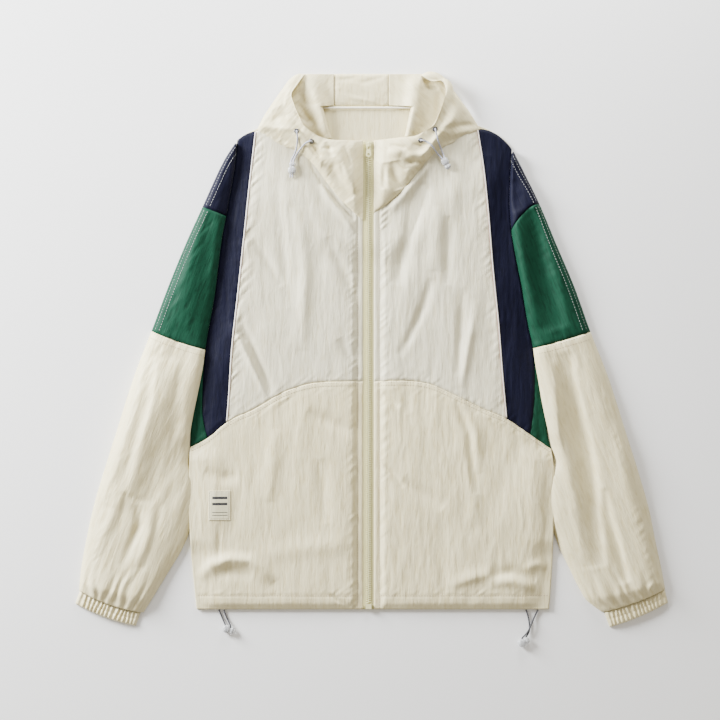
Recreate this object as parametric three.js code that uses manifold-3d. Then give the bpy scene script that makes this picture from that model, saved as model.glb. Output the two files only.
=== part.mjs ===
// A hooded windbreaker laid flat, front up, in millimetres. Tables are in the pattern's frame:
// x from the zip's centre line, y up from the hem, z up from the surface that it lies on.
// R is the wearer's right, at negative x, and L the wearer's left.
import * as THREE from "three";
import Module from "manifold-3d";

const wasm = await Module();
wasm.setup();

// Driving dimensions
const CLOTH = 1.2; // wall of one layer of cloth
const GAP = 0.3; // between pieces at a seam, and between layers
const ORIGIN = { x: 4.5, y: 361.4 }; // middle of the laid garment in the pattern's frame
const FRONT_EDGE = 7.5; // from the zip's centre line to the folded edge of a front
const CHAIN_HALF = 3; // half the width of the zip's chain
const ZIP_TOP = 652; // height of the neckline at the zip
const BACK_NECK = 700; // height of the seam of hood and back
const HOOD_FOLD = 745; // height of the fold where the hood turns under
const OVERLAP_LIFT = 4.8; // rise of a layer where it lies over the edge of another piece
const LOFT = 1.4; // mean puff of the front over the back
const CUFF_RIBS = 15; // gathers of the elastic across a cuff
const CORD = 2.2; // thickness of the hood's and hem's cord
const CORD_SIDES = 8;
const TAPE_WALL = 1; // zip tape, neck binding and patch
const TAPE_LIFT = 0.5; // of the zip tape and binding over what they lie on
const CHAIN_WALL = 1.6; // height of the zip's closed teeth over the tape
const BOX_WALL = 2.2; // height of the zip's bottom box over the tape

const CREAM = new THREE.Color(0.84, 0.81, 0.7);
const WHITE = new THREE.Color(0.86, 0.85, 0.8);
const NAVY = new THREE.Color(0.02, 0.022, 0.055);
const GREEN = new THREE.Color(0.02, 0.13, 0.06);
const ZIP = new THREE.Color(0.78, 0.72, 0.5);
const METAL = new THREE.Color(0.2, 0.2, 0.21);
const CLEAR = new THREE.Color(0.9, 0.92, 0.93);
const BRAID = new THREE.Color(0.75, 0.75, 0.8);
const ELASTIC = new THREE.Color(0.06, 0.06, 0.07);

// Rows under column names, as a list of objects
function table(columns, rows) {
  return rows.map((row) => Object.fromEntries(columns.map((c, i) => [c, row[i]])));
}

// A smooth line through a table's rows: the value of one column for a value of another
function smooth(rows, key, value) {
  const k = rows.map((r) => r[key]);
  const v = rows.map((r) => r[value]);
  const sign = k[1] > k[0] ? 1 : -1;
  const last = k.length - 1;
  const slope = (i) => (v[i + 1] - v[i]) / (k[i + 1] - k[i]);
  const tangent = k.map((_, i) => {
    if (i === 0) return slope(0);
    if (i === last) return slope(last - 1);
    const before = Math.abs(k[i] - k[i - 1]);
    const after = Math.abs(k[i + 1] - k[i]);
    return (slope(i - 1) * after + slope(i) * before) / (before + after);
  });
  return (t) => {
    let i = 0;
    while (i < last - 1 && sign * t > sign * k[i + 1]) i++;
    const h = k[i + 1] - k[i];
    const s = Math.min(1, Math.max(0, (t - k[i]) / h));
    const s2 = s * s;
    const s3 = s2 * s;
    return (
      v[i] * (2 * s3 - 3 * s2 + 1) +
      v[i + 1] * (3 * s2 - 2 * s3) +
      h * (tangent[i] * (s3 - 2 * s2 + s) + tangent[i + 1] * (s3 - s2))
    );
  };
}

const mix = (a, b, t) => a + (b - a) * t;

// 0 before the first value, 1 after the second, with a soft turn at each
function step(from, to, t) {
  const s = Math.min(1, Math.max(0, (t - from) / (to - from)));
  return s * s * (3 - 2 * s);
}

// Seams of the body, each side its own, because the garment doesn't lie evenly
const armhole = {
  R: smooth(table(["y", "x"], [
    [652, -183], [618, -186], [569, -194], [514, -204], [430, -215], [361, -227], [305, -231],
    [263, -230], [238, -224],
  ]), "y", "x"),
  L: smooth(table(["y", "x"], [
    [640, 199.5], [600, 197], [565, 196], [528, 198.5], [447, 213], [391, 223], [363, 229],
    [305, 231], [263, 228], [243, 225],
  ]), "y", "x"),
};
const piping = {
  R: smooth(table(["y", "x"], [
    [665, -157], [604, -164], [528, -172], [444, -181], [361, -190], [284, -195], [260, -197],
  ]), "y", "x"),
  L: smooth(table(["y", "x"], [
    [667, 152], [622, 159], [548, 167], [475, 173], [395, 181], [319, 187], [265, 192],
  ]), "y", "x"),
};
const side = {
  R: smooth(table(["y", "x"], [
    [361, -227.3], [338, -235], [312, -243], [288, -247], [263, -248], [245, -247.5], [225, -248.4],
    [194, -249], [128, -249], [69, -246], [37, -243], [0, -239],
  ]), "y", "x"),
  L: smooth(table(["y", "x"], [
    [363, 229.3], [341, 237], [319, 243], [295, 247], [270, 248.5], [243, 249.6], [223, 254],
    [205, 257], [104, 257], [72, 256], [38, 254], [0, 251],
  ]), "y", "x"),
};
const pocketSeam = {
  R: smooth(table(["x", "y"], [
    [-248.4, 225], [-224, 238], [-197, 260], [-158, 279], [-116, 303], [-81, 314], [-40, 317], [-7.5, 317],
  ]), "x", "y"),
  L: smooth(table(["x", "y"], [
    [254, 223], [225, 243], [192, 265], [162, 278], [120, 298], [83, 314], [51, 318], [7.5, 317],
  ]), "x", "y"),
};
const hoodEdge = {
  R: smooth(table(["x", "y"], [
    [-155, 668], [-142, 658], [-126, 648], [-94, 634], [-76, 618], [-56, 591], [-34, 565], [-7.5, 540],
  ]), "x", "y"),
  L: smooth(table(["x", "y"], [
    [155, 668], [141, 661], [113, 647], [101, 641], [85, 628], [66, 605], [47, 583], [27, 565], [7.5, 551],
  ]), "x", "y"),
};

// The inner edge of each sleeve below the underarm: it lies over the gusset, then under the body's side
const sleeveInner = {
  R: smooth(table(["y", "x"], [
    [361, -227.3], [338, -230], [312, -235], [288, -240], [263, -245], [244, -248], [225, -249],
    [205, -249],
    [180, -241], [150, -239], [128, -243], [108, -249], [79, -262], [56, -276], [33, -290],
    [10, -304], [-4, -313],
  ]), "y", "x"),
  L: smooth(table(["y", "x"], [
    [363, 229.3], [341, 232], [319, 236], [295, 240], [270, 245], [250, 249.5], [223, 254.8], [205, 257.6],
    [180, 249], [150, 247], [125, 251], [106, 258], [85, 266], [56, 280], [28, 294], [12, 304], [-4, 325],
  ]), "y", "x"),
};

// Sections across each sleeve from the shoulder to the end of the cuff. bow moves a section's middle
// towards the hand, loft is how far the front stands off the back there.
const sleeveColumns = ["at", "outerX", "outerY", "innerY", "bow", "loft"];
const sleeveRows = {
  R: table(sleeveColumns, [
    [0, -185.5, 649, 646, 0, 0.6], [1, -204, 619, 605, 0, 2], [2, -231, 560, 547, 0, 2.6],
    [3, -255, 507, 483, 0, 3],
    [4, -279, 448, 422, 0, 3], [5, -302, 387, 361, 2, 2.4], [6, -326, 325, 301, 0, 3],
    [7, -348, 256, 244, 0, 3],
    [8, -366, 199, 183, 0, 3], [9, -382, 145, 130, 0, 3], [10, -393, 95, 88, 0, 3.2],
    [11, -400, 56, 40, 2, 3.2],
    [12, -403, 26, -4.5, 5, 2],
  ]),
  L: table(sleeveColumns, [
    [0, 202, 637, 634, 0, 0.6], [1, 215, 611, 594, 0, 2], [2, 238, 564, 528, -8, 2.6],
    [3, 261, 509, 479, -3, 3],
    [4, 286, 450, 423, 0, 3], [5, 309, 386, 363, 1, 2.4], [6, 334, 322, 298, 0, 3],
    [7, 358, 247, 238, 0, 3],
    [8, 376, 190, 180, 0, 3], [9, 390, 141, 127, 0, 3], [10, 400, 92, 85, 0, 3.2],
    [11, 408, 55, 37, 2, 3.2],
    [12, 413, 27.5, -4, 3, 2],
  ]),
};
const SEAM_NAVY_GREEN = 2; // row of the seam of cap and middle sleeve
const SEAM_GREEN_CREAM = 5; // row of the seam of middle and lower sleeve
const SEAM_CUFF = 12; // row of the cuff's seam
const cuffColumns = ["outerX", "outerY", "innerX", "innerY", "bow"];
const cuffRows = {
  R: table(cuffColumns, [[-402, 25.4, -317, -4, 4.4], [-408, 7.5, -324, -23, 4]]),
  L: table(cuffColumns, [[412.5, 27.2, 328, -3.3, 2.8], [417, 9, 336, -25, 3]]),
};
const CUFF_PUFF = { low: 1.6, rib: 1.7 }; // how far a cuff's front stands off, between ribs and on them

// Free edge of the hood, from the fold at the top to the zip. height is how far it stands up.
const brimColumns = ["at", "x", "y", "height"];
const brimRows = {
  R: table(brimColumns, [
    [0, -88, 744, 5], [0.12, -98, 730, 8], [0.22, -107, 715, 11], [0.3, -104, 703, 13],
    [0.42, -97, 686, 14],
    [0.54, -89, 671, 14], [0.62, -79, 663, 13], [0.7, -69, 657, 11], [0.78, -54, 653, 8],
    [0.88, -33, 652, 5],
    [1, -7.5, 652, 2.5],
  ]),
  L: table(brimColumns, [
    [0, 72, 743, 5], [0.08, 87, 734, 6], [0.16, 102, 734, 7], [0.23, 107, 723, 11], [0.32, 105, 708, 13],
    [0.43, 97, 686, 14], [0.54, 89, 671, 14], [0.62, 78, 664, 12], [0.7, 66, 658, 10], [0.8, 46, 656, 7],
    [0.9, 28, 654, 4], [1, 7.5, 652, 2.5],
  ]),
};
// Outline of the hood from the fold at the top down to the shoulder
const hoodSide = {
  R: table(["at", "x", "y"], [
    [0, -88, 744], [0.1, -97, 745], [0.22, -108, 739], [0.4, -119, 725], [0.6, -133, 705],
    [0.8, -145, 687], [1, -155, 668],
  ]),
  L: table(["at", "x", "y"], [
    [0, 72, 743], [0.12, 84, 748], [0.3, 103, 742], [0.45, 115, 726], [0.6, 128, 709],
    [0.8, 142, 690], [1, 155, 668],
  ]),
};
// The part of the hood behind its free edge: inner edge, outer edge, and the ridge between them
const rearColumns = ["y", "inner", "outer", "ridge", "height"];
const rearRows = {
  R: table(rearColumns, [
    [744.5, -48, -90, -84, 0.5], [739, -48, -98, -82, 4], [730, -48, -107, -79, 8],
    [716, -48, -117, -73, 10], [701.2, -48, -117, -66, 11],
    [699, -56.5, -117, -66, 11], [684, -53, -112, -62, 11], [668, -49, -102, -58, 9],
    [656, -46, -88, -53, 6],
  ]),
  L: table(rearColumns, [
    [744.5, 28.5, 74, 67, 0.5], [739, 28.5, 86, 66.5, 4], [730, 28.5, 102, 65, 8],
    [716, 28.5, 116, 64, 10], [701.2, 28.5, 114, 62, 11],
    [699, 52.5, 113, 62, 11], [684, 49.5, 108, 59, 11], [668, 46.5, 100, 56, 9], [659, 44, 88, 53, 6],
  ]),
};
const RIDGE = { outward: 12, inward: 7 }; // width of the ridge's two flanks

// Largest folds: a ridge from one point to the other, or a trough where height is negative
const foldColumns = ["x1", "y1", "x2", "y2", "width", "height"];
const bodyFolds = table(foldColumns, [
  [-190, 395, -165, 354, 10, 3], [-165, 354, -140, 298, 10, 3.4], [-169, 514, -148, 430, 11, 2.2],
  [-60, 590, -16, 539, 8, 2.6], [-75, 560, -30, 470, 10, 2], [-53, 480, -47, 360, 12, 1.8],
  [-120, 600, -112, 470, 13, 2], [-234, 45, -193, 66, 9, 3.2], [-193, 66, -140, 44, 9, 3.2],
  [-90, 280, -96, 120, 14, 2], [-190, 190, -150, 110, 13, 1.6], [-40, 230, -48, 80, 12, 1.6],
  [83, 625, 37, 555, 9, 2.8], [120, 620, 118, 480, 12, 2], [58, 520, 51, 361, 12, 2.2],
  [160, 500, 152, 380, 11, 2.4], [110, 420, 140, 330, 11, 2], [120, 295, 141, 236, 11, 3],
  [141, 236, 148, 120, 11, 2.6], [155, 45, 190, 50, 9, 3], [190, 50, 229, 37, 9, 3],
  [70, 260, 60, 110, 13, 1.8], [205, 200, 190, 110, 12, 2],
]);
const sleeveFolds = table(foldColumns, [
  [-262, 350, -312, 200, 13, 3], [-312, 200, -345, 60, 12, 3], [-304, 372, -325, 290, 11, 2.4],
  [-280, 330, -290, 220, 11, 2.4], [-325, 166, -332, 60, 9, 2.4], [-240, 520, -262, 420, 10, 2.4],
  [-285, 180, -310, 70, 10, 2.6], [-362, 150, -380, 60, 9, 2.2],
  [259, 350, 287, 222, 12, 3], [287, 222, 312, 60, 12, 3], [300, 360, 330, 250, 12, 2.6],
  [322, 166, 350, 50, 10, 2.8], [245, 520, 262, 410, 10, 2.4], [350, 230, 372, 120, 11, 2.4],
  [372, 120, 388, 50, 9, 2.2], [275, 150, 300, 70, 9, 2.4],
]);

function foldHeight(folds, x, y) {
  let z = 0;
  for (const f of folds) {
    const dx = f.x2 - f.x1;
    const dy = f.y2 - f.y1;
    const length = Math.hypot(dx, dy);
    const along = ((x - f.x1) * dx + (y - f.y1) * dy) / length;
    const across = ((x - f.x1) * dy - (y - f.y1) * dx) / length;
    const ends = step(-f.width, f.width, along) * step(-f.width, f.width, length - along);
    z += f.height * ends * Math.exp(-((across / f.width) ** 2));
  }
  return z;
}

const sideOf = (x) => (x < 0 ? "R" : "L");

// The hood's crown, folded under the back: a rounded box in plan
const CROWN = {
  x: -8, top: 743, bottom: 548, half: 92, corner: 70, thick: 2 * CLOTH + GAP, drape: [34, 72],
};

function outsideCrown(x, y) {
  const half = (CROWN.top - CROWN.bottom) / 2;
  const dx = Math.abs(x - CROWN.x) - CROWN.half + CROWN.corner;
  const dy = (CROWN.top + CROWN.bottom) / 2 - y - half + CROWN.corner;
  return Math.hypot(Math.max(dx, 0), Math.max(dy, 0)) - CROWN.corner;
}

// Underside of the back: flat on the surface, but over the crown and over the sleeves' tucked edges
function backUnder(x, y) {
  const s = sideOf(x);
  const onCrown = (CROWN.thick + GAP) * (1 - step(...CROWN.drape, outsideCrown(x, y)));
  const inward = Math.abs(sleeveInner[s](y)) - Math.abs(x);
  const tucked = step(72, 100, y) * (1 - step(206, 230, y));
  return onCrown + OVERLAP_LIFT * tucked * (1 - step(8, 62, inward));
}

// Underside of the front: it puffs a little, less at the sides, and carries the folds
function frontUnder(x, y) {
  const s = sideOf(x);
  const edge = y > side[s](0) && y > 361 ? armhole[s](y) : side[s](y);
  const fromEdge = Math.abs(edge) - Math.abs(x);
  const body = step(-4, 30, fromEdge);
  const hem = step(0, 22, y);
  const zip = 0.35 + 0.65 * step(0, 26, Math.abs(x) - FRONT_EDGE);
  const puff = 0.3 + LOFT + Math.max(0, foldHeight(bodyFolds, x, y));
  return backUnder(x, y) + CLOTH + GAP + 0.1 + puff * body * (0.3 + 0.7 * hem) * zip;
}

// Underside of a sleeve's back: on the surface, but over the gusset's edge
function sleeveUnder(x, y) {
  const s = sideOf(x);
  const outward = Math.abs(x) - Math.abs(side[s](y));
  const over = step(222, 246, y) * (1 - step(352, 376, y));
  return OVERLAP_LIFT * over * (1 - step(4, 26, outward));
}

// Pieces are patches in plan, bounded by four lines that meet at the corners
function patch(top, bottom, left, right) {
  return (u, v) => {
    const t = top(u);
    const b = bottom(u);
    const l = left(v);
    const r = right(v);
    const c = [top(0), top(1), bottom(0), bottom(1)];
    return [0, 1].map(
      (i) =>
        mix(t[i], b[i], v) + mix(l[i], r[i], u) -
        mix(mix(c[0][i], c[1][i], u), mix(c[2][i], c[3][i], u), v),
    );
  };
}

const alongY = (f, from, to) => (t) => [f(mix(from, to, t)), mix(from, to, t)];
const alongX = (f, from, to) => (t) => [mix(from, to, t), f(mix(from, to, t))];

// The grid of a patch with its rim drawn in by half a seam's gap
function grid(place, across, along) {
  const p = [];
  for (let j = 0; j <= along; j++) {
    p.push([]);
    for (let i = 0; i <= across; i++) p[j].push(place(i / across, j / along));
  }
  const rim = [];
  for (let i = 0; i < across; i++) rim.push([0, i]);
  for (let j = 0; j < along; j++) rim.push([j, across]);
  for (let i = across; i > 0; i--) rim.push([along, i]);
  for (let j = along; j > 0; j--) rim.push([j, 0]);
  const at = rim.map(([j, i]) => p[j][i]);
  const area = at.reduce((sum, a, k) => {
    const b = at[(k + 1) % at.length];
    return sum + (a[0] * b[1] - b[0] * a[1]) / 2;
  }, 0);
  const turn = Math.sign(area);
  const normal = (a, b) => {
    const length = Math.hypot(b[0] - a[0], b[1] - a[1]);
    return [(-turn * (b[1] - a[1])) / length, (turn * (b[0] - a[0])) / length];
  };
  const moved = at.map((a, k) => {
    const n1 = normal(at[(k + at.length - 1) % at.length], a);
    const n2 = normal(a, at[(k + 1) % at.length]);
    const scale = GAP / 2 / Math.max(0.4, 1 + n1[0] * n2[0] + n1[1] * n2[1]);
    return [a[0] + (n1[0] + n2[0]) * scale, a[1] + (n1[1] + n2[1]) * scale];
  });
  rim.forEach(([j, i], k) => {
    p[j][i] = moved[k];
  });
  return { points: p, turn };
}

const group = new THREE.Group();
group.position.set(-ORIGIN.x, -ORIGIN.y, 0);
const meshes = {};

function add(name, geometry, color, roughness = 0.6, metalness = 0) {
  const material = new THREE.MeshStandardMaterial({ color, roughness, metalness });
  const mesh = new THREE.Mesh(geometry, material);
  mesh.name = name;
  group.add(mesh);
  meshes[name] = mesh;
  return mesh;
}

// A sheet of cloth over a patch: under gives the height of its underside at a point and its place u, v
function sheet(name, color, place, under, across, along, wall = CLOTH) {
  const { points, turn } = grid(place, across, along);
  const position = [];
  for (const top of [0, 1])
    points.forEach((row, j) =>
      row.forEach(([x, y], i) => {
        position.push(x, y, under(x, y, i / across, j / along) + top * wall);
      }),
    );
  const columns = across + 1;
  const layer = columns * (along + 1);
  const index = [];
  const quad = (a, b, c, d) => {
    if (turn > 0) index.push(a, b, c, a, c, d);
    else index.push(a, c, b, a, d, c);
  };
  for (let j = 0; j < along; j++)
    for (let i = 0; i < across; i++) {
      const a = j * columns + i;
      quad(layer + a, layer + a + 1, layer + a + columns + 1, layer + a + columns);
      quad(a, a + columns, a + columns + 1, a + 1);
    }
  for (let i = 0; i < across; i++) {
    const end = along * columns + i;
    quad(i, i + 1, layer + i + 1, layer + i);
    quad(end + 1, end, layer + end, layer + end + 1);
  }
  for (let j = 0; j < along; j++) {
    const start = j * columns;
    const end = start + across;
    quad(start + columns, start, layer + start, layer + start + columns);
    quad(end, end + columns, layer + end + columns, layer + end);
  }
  const geometry = new THREE.BufferGeometry();
  geometry.setAttribute("position", new THREE.Float32BufferAttribute(position, 3));
  geometry.setIndex(index);
  return add(name, geometry, color);
}

// Height of the top surface of a piece at a point of the pattern
const ray = new THREE.Raycaster();
function topOf(mesh, x, y) {
  ray.set(new THREE.Vector3(x, y, 200), new THREE.Vector3(0, 0, -1));
  mesh.geometry.computeVertexNormals();
  const saved = mesh.matrixWorld.clone();
  mesh.matrixWorld.identity();
  const hit = ray.intersectObject(mesh)[0];
  mesh.matrixWorld.copy(saved);
  return hit ? hit.point.z : 0;
}

// Back, from the hem to the neck, in rows from side to side
const backTop = {
  R: smooth(table(["y", "x"], [
    [652, -183], [660, -172], [670, -152], [680, -124], [690, -96], [BACK_NECK, -67],
  ]), "y", "x"),
  L: smooth(table(["y", "x"], [
    [640, 199.5], [649, 193], [661, 178], [671, 158], [680, 127], [690, 96], [BACK_NECK, 62],
  ]), "y", "x"),
};
const backEdge = (s, y) => {
  if (y > (s === "R" ? 652 : 640)) return backTop[s](y);
  return y > 362 ? armhole[s](y) : side[s](y);
};
const backRows = [
  0, 36, 72, 86, 100, 140, 180, 206, 218, 230, 262, 312, 361, 400, 440, 480, 514, 545, 580, 612, 640,
  652, 661, 671, 685, BACK_NECK,
];
// columns stand closer together at the sides, where the back rises over the sleeves
const backColumns = [0, 0.025, 0.06, 0.13, 0.22, 0.33, 0.44, 0.56, 0.67, 0.78, 0.87, 0.94, 0.975, 1];

// The value at a share t of the way through a list
function between(list, t) {
  const at = t * (list.length - 1);
  const i = Math.min(list.length - 2, Math.floor(at));
  return mix(list[i], list[i + 1], at - i);
}

const backPlan = (u, v) => {
  const y = between(backRows, v);
  return [mix(backEdge("R", y), backEdge("L", y), between(backColumns, u)), y];
};
sheet("back", CREAM, backPlan, backUnder, backColumns.length - 1, backRows.length - 1);

// Fronts, stripes, gussets and lower fronts
const lowerRows = [0, 18, 36, 54, 72, 86, 100, 120, 140, 160, 180, 206, 218, 224];
const lowerColumns = [0, 0.05, 0.12, 0.2, 0.27, 0.35, 0.44, 0.53, 0.62, 0.71, 0.8, 0.87, 0.94, 1];
for (const s of ["R", "L"]) {
  const m = s === "R" ? -1 : 1;
  const shoulderY = s === "R" ? 652 : 640;
  const pipeTop = s === "R" ? 665 : 667;
  const pipeEnd = s === "R" ? 260 : 265;
  const gussetTop = s === "R" ? 361 : 363;
  const gussetEnd = s === "R" ? 238 : 243;
  const sideEnd = s === "R" ? 225 : 223;
  const neckline = (x) => hoodEdge[s](x) + 7;
  const outerTop = [piping[s](pipeTop), pipeTop];

  const neckTop = (t) => {
    const x = mix(outerTop[0], m * FRONT_EDGE, t);
    return [x, mix(outerTop[1], neckline(x), step(0, 0.12, t))];
  };
  sheet(
    "front_upper_" + s, WHITE,
    patch(
      neckTop,
      alongX(pocketSeam[s], piping[s](pipeEnd), m * FRONT_EDGE),
      alongY(piping[s], pipeTop, pipeEnd),
      (t) => [m * FRONT_EDGE, mix(neckline(m * FRONT_EDGE), 317, t)],
    ),
    frontUnder, 10, 18,
  );

  const shoulderBow = s === "R" ? 3 : 9;
  const shoulderLine = (t) => {
    const a = [armhole[s](shoulderY), shoulderY];
    const rise = shoulderBow * Math.sin(Math.PI * t) ** 0.7;
    return [mix(a[0], outerTop[0], t), mix(a[1], outerTop[1], t) + rise];
  };
  sheet(
    "stripe_" + s, NAVY,
    patch(
      shoulderLine,
      alongX(pocketSeam[s], armhole[s](gussetEnd), piping[s](pipeEnd)),
      alongY(armhole[s], shoulderY, gussetEnd),
      alongY(piping[s], pipeTop, pipeEnd),
    ),
    frontUnder, 3, 18,
  );

  const pipeHalf = 0.9;
  sheet(
    "piping_" + s, WHITE,
    (u, v) => {
      const y = mix(pipeTop - 1, pipeEnd + 2, v);
      return [piping[s](y) + mix(-pipeHalf, pipeHalf, u), y];
    },
    (x, y) => frontUnder(x, y) + CLOTH + GAP, 1, 18, 1,
  );

  sheet(
    "gusset_" + s, GREEN,
    patch(
      (t) => [mix(side[s](gussetTop - 9), armhole[s](gussetTop - 9), t), gussetTop - 9],
      alongX(pocketSeam[s], side[s](sideEnd), armhole[s](gussetEnd)),
      alongY(side[s], gussetTop - 9, sideEnd),
      alongY(armhole[s], gussetTop - 9, gussetEnd),
    ),
    frontUnder, 3, 8,
  );

  // rows and columns stand where the back's do at the side, so the two stay apart where they rise
  const lowerPlan = patch(
    alongX((x) => pocketSeam[s](x) - 0.4, side[s](sideEnd), m * FRONT_EDGE),
    alongX(() => 0, side[s](0), m * FRONT_EDGE),
    alongY(side[s], sideEnd - 0.4, 0),
    alongY(() => m * FRONT_EDGE, pocketSeam[s](m * FRONT_EDGE) - 0.4, 0),
  );
  sheet(
    "front_lower_" + s, CREAM,
    (u, v) => lowerPlan(between(lowerColumns, u), 1 - between(lowerRows, 1 - v) / lowerRows.at(-1)),
    frontUnder, lowerColumns.length - 1, lowerRows.length - 1,
  );
}

// Sleeves: a front and a back for each colour, joined along the outline
const bands = [
  { name: "cap", color: NAVY, from: 0, to: SEAM_NAVY_GREEN, rows: 6, across: 5 },
  { name: "middle", color: GREEN, from: SEAM_NAVY_GREEN, to: SEAM_GREEN_CREAM, rows: 7, across: 6 },
  { name: "lower", color: CREAM, from: SEAM_GREEN_CREAM, to: SEAM_CUFF, rows: 17, across: 8 },
];
for (const s of ["R", "L"]) {
  const underarm = s === "R" ? 361 : 363;
  const at = Object.fromEntries(sleeveColumns.map((c) => [c, smooth(sleeveRows[s], "at", c)]));
  const ease = s === "R" ? -GAP : GAP;
  const innerX = (y) => {
    if (y <= underarm) return sleeveInner[s](y);
    return armhole[s](y) + ease * step(0, 30, y - underarm);
  };
  const place = (u, row) => {
    const y = at.innerY(row);
    const bow = at.bow(row) * 4 * u * (1 - u);
    return [mix(at.outerX(row), innerX(y), u), mix(at.outerY(row), y, u) - bow];
  };
  const round = (u) => (1 - (2 * u - 1) ** 4) ** 0.75;
  for (const b of bands) {
    const plan = (u, v) => place(u, mix(b.from, b.to, v));
    const above = (x, y, u, v) => {
      const row = mix(b.from, b.to, v);
      const gathers = step(10.6, 12, row) * 0.9 * (1 + Math.sin(u * 2 * Math.PI * 7));
      const folds = Math.max(0, foldHeight(sleeveFolds, x, y)) + gathers;
      return sleeveUnder(x, y) + CLOTH + GAP + round(u) * (at.loft(row) + folds);
    };
    sheet("sleeve_" + b.name + "_front_" + s, b.color, plan, above, b.across, b.rows);
    sheet("sleeve_" + b.name + "_back_" + s, b.color, plan, sleeveUnder, 3, b.rows);
  }
  // The cuff is gathered by elastic: its ribs run along the arm
  const [top, end] = cuffRows[s];
  const cuffPlan = (u, v) => {
    const bow = mix(top.bow, end.bow, v) * 4 * u * (1 - u);
    return [
      mix(mix(top.outerX, top.innerX, u), mix(end.outerX, end.innerX, u), v),
      mix(mix(top.outerY, top.innerY, u), mix(end.outerY, end.innerY, u), v) - bow,
    ];
  };
  const ribs = (u) => Math.sin(u * Math.PI * CUFF_RIBS) ** 2;
  const cuffAbove = (x, y, u) => CLOTH + GAP + round(u) * (CUFF_PUFF.low + CUFF_PUFF.rib * ribs(u));
  sheet("cuff_front_" + s, CREAM, cuffPlan, cuffAbove, 4 * CUFF_RIBS, 2);
  sheet("cuff_back_" + s, CREAM, cuffPlan, () => 0, 6, 2);
}

// Hood: the crown is folded under the back, the middle strip shows inside the neck
{
  const outline = new THREE.Shape();
  outline.moveTo(CROWN.x - CROWN.half, CROWN.top);
  outline.lineTo(CROWN.x - CROWN.half, CROWN.bottom + CROWN.corner);
  const inset = CROWN.half - CROWN.corner;
  const low = CROWN.bottom + CROWN.corner;
  outline.absarc(CROWN.x - inset, low, CROWN.corner, Math.PI, 1.5 * Math.PI);
  outline.absarc(CROWN.x + inset, low, CROWN.corner, 1.5 * Math.PI, 2 * Math.PI);
  outline.lineTo(CROWN.x + CROWN.half, CROWN.top);
  const bevel = 0.6;
  const crown = new THREE.ExtrudeGeometry(outline, {
    depth: CROWN.thick - 2 * bevel,
    bevelThickness: bevel,
    bevelSize: bevel,
    bevelOffset: -bevel,
    bevelSegments: 1,
    curveSegments: 6,
  });
  crown.translate(0, 0, bevel);
  add("hood_crown", crown, CREAM);
}
const hoodFloor = (x, y) => backUnder(x, Math.min(y, CROWN.top - 1));
const middle = { from: rearRows.R[0].inner, to: rearRows.L[0].inner };
sheet(
  "hood_middle", CREAM,
  (u, v) => [mix(middle.from, middle.to, u), mix(BACK_NECK, HOOD_FOLD, v)],
  (x, y, u, v) => hoodFloor(x, y) + 1.6 * Math.sin(Math.PI * v), 5, 5,
);
sheet(
  "neck_binding", CREAM,
  (u, v) => [mix(-54, 47, u), mix(BACK_NECK - 5, BACK_NECK - 1.3, v)],
  (x, y) => hoodFloor(x, y) + CLOTH + GAP + TAPE_LIFT, 8, 1, TAPE_WALL,
);

for (const s of ["R", "L"]) {
  const m = s === "R" ? -1 : 1;
  // behind the free edge, lying on the back, with a soft ridge beside the neck
  const rear = Object.fromEntries(rearColumns.map((c) => [c, smooth(rearRows[s], "y", c)]));
  const rows = rearRows[s];
  const rearRow = (v) => {
    const k = v * (rows.length - 1);
    const i = Math.min(rows.length - 2, Math.floor(k));
    return { i, t: k - i };
  };
  const rearPlan = (u, v) => {
    const { i, t } = rearRow(v);
    const inner = mix(rows[i].inner, rows[i + 1].inner, t);
    const outer = mix(rows[i].outer, rows[i + 1].outer, t);
    return [mix(outer, inner, u), mix(rows[i].y, rows[i + 1].y, t)];
  };
  const rearUnder = (x, y) => {
    const outward = m * (x - rear.ridge(y));
    const flank = outward > 0 ? RIDGE.outward : RIDGE.inward;
    const ridge = rear.height(y) * Math.exp(-((outward / flank) ** 2));
    const dip = 1.2 * step(0, 8, outward) * step(0, 10, HOOD_FOLD - y);
    const start = step(0, 14, m * (x - middle[s === "R" ? "from" : "to"]));
    const lift = y > BACK_NECK + 0.5 ? start : 1;
    return hoodFloor(x, y) + (CLOTH + GAP) * lift + (ridge + dip) * mix(0.12, 1, lift);
  };
  sheet("hood_rear_" + s, CREAM, rearPlan, rearUnder, 8, 2 * (rows.length - 1) - 2);

  // the side's front part, from the free edge to the roll over the front and the zip
  const brim = Object.fromEntries(brimColumns.map((c) => [c, smooth(brimRows[s], "at", c)]));
  const outline = { x: smooth(hoodSide[s], "at", "x"), y: smooth(hoodSide[s], "at", "y") };
  const shoulder = hoodSide[s][hoodSide[s].length - 1];
  const hoodPlan = patch(
    (t) => [brim.x(t), brim.y(t)],
    alongX(hoodEdge[s], shoulder.x, m * FRONT_EDGE),
    (t) => [outline.x(t), outline.y(t)],
    (t) => [m * FRONT_EDGE, mix(ZIP_TOP, hoodEdge[s](m * FRONT_EDGE), t)],
  );
  const hoodUnder = (x, y, u, v) => {
    const over = Math.max(frontUnder(x, y), hoodFloor(x, y) + 2 * (CLOTH + GAP));
    const stand = brim.height(u) * (1 - step(0, 1, v) * 0.75);
    const roll = 6.5 * Math.sin(Math.PI * Math.min(1, u * 1.25)) * Math.exp(-(((v - 0.66) / 0.16) ** 2));
    const edge = mix(0.6, 1, step(0, 0.1, u));
    const hem = 1 - step(0.8, 1, v);
    const atZip = 1 - 0.4 * step(0.85, 1, u);
    return over + CLOTH + 2.4 * GAP + (stand * edge + roll) * mix(0.06, 1, hem) * atZip;
  };
  sheet("hood_side_" + s, CREAM, hoodPlan, hoodUnder, 19, 9);
}

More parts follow.
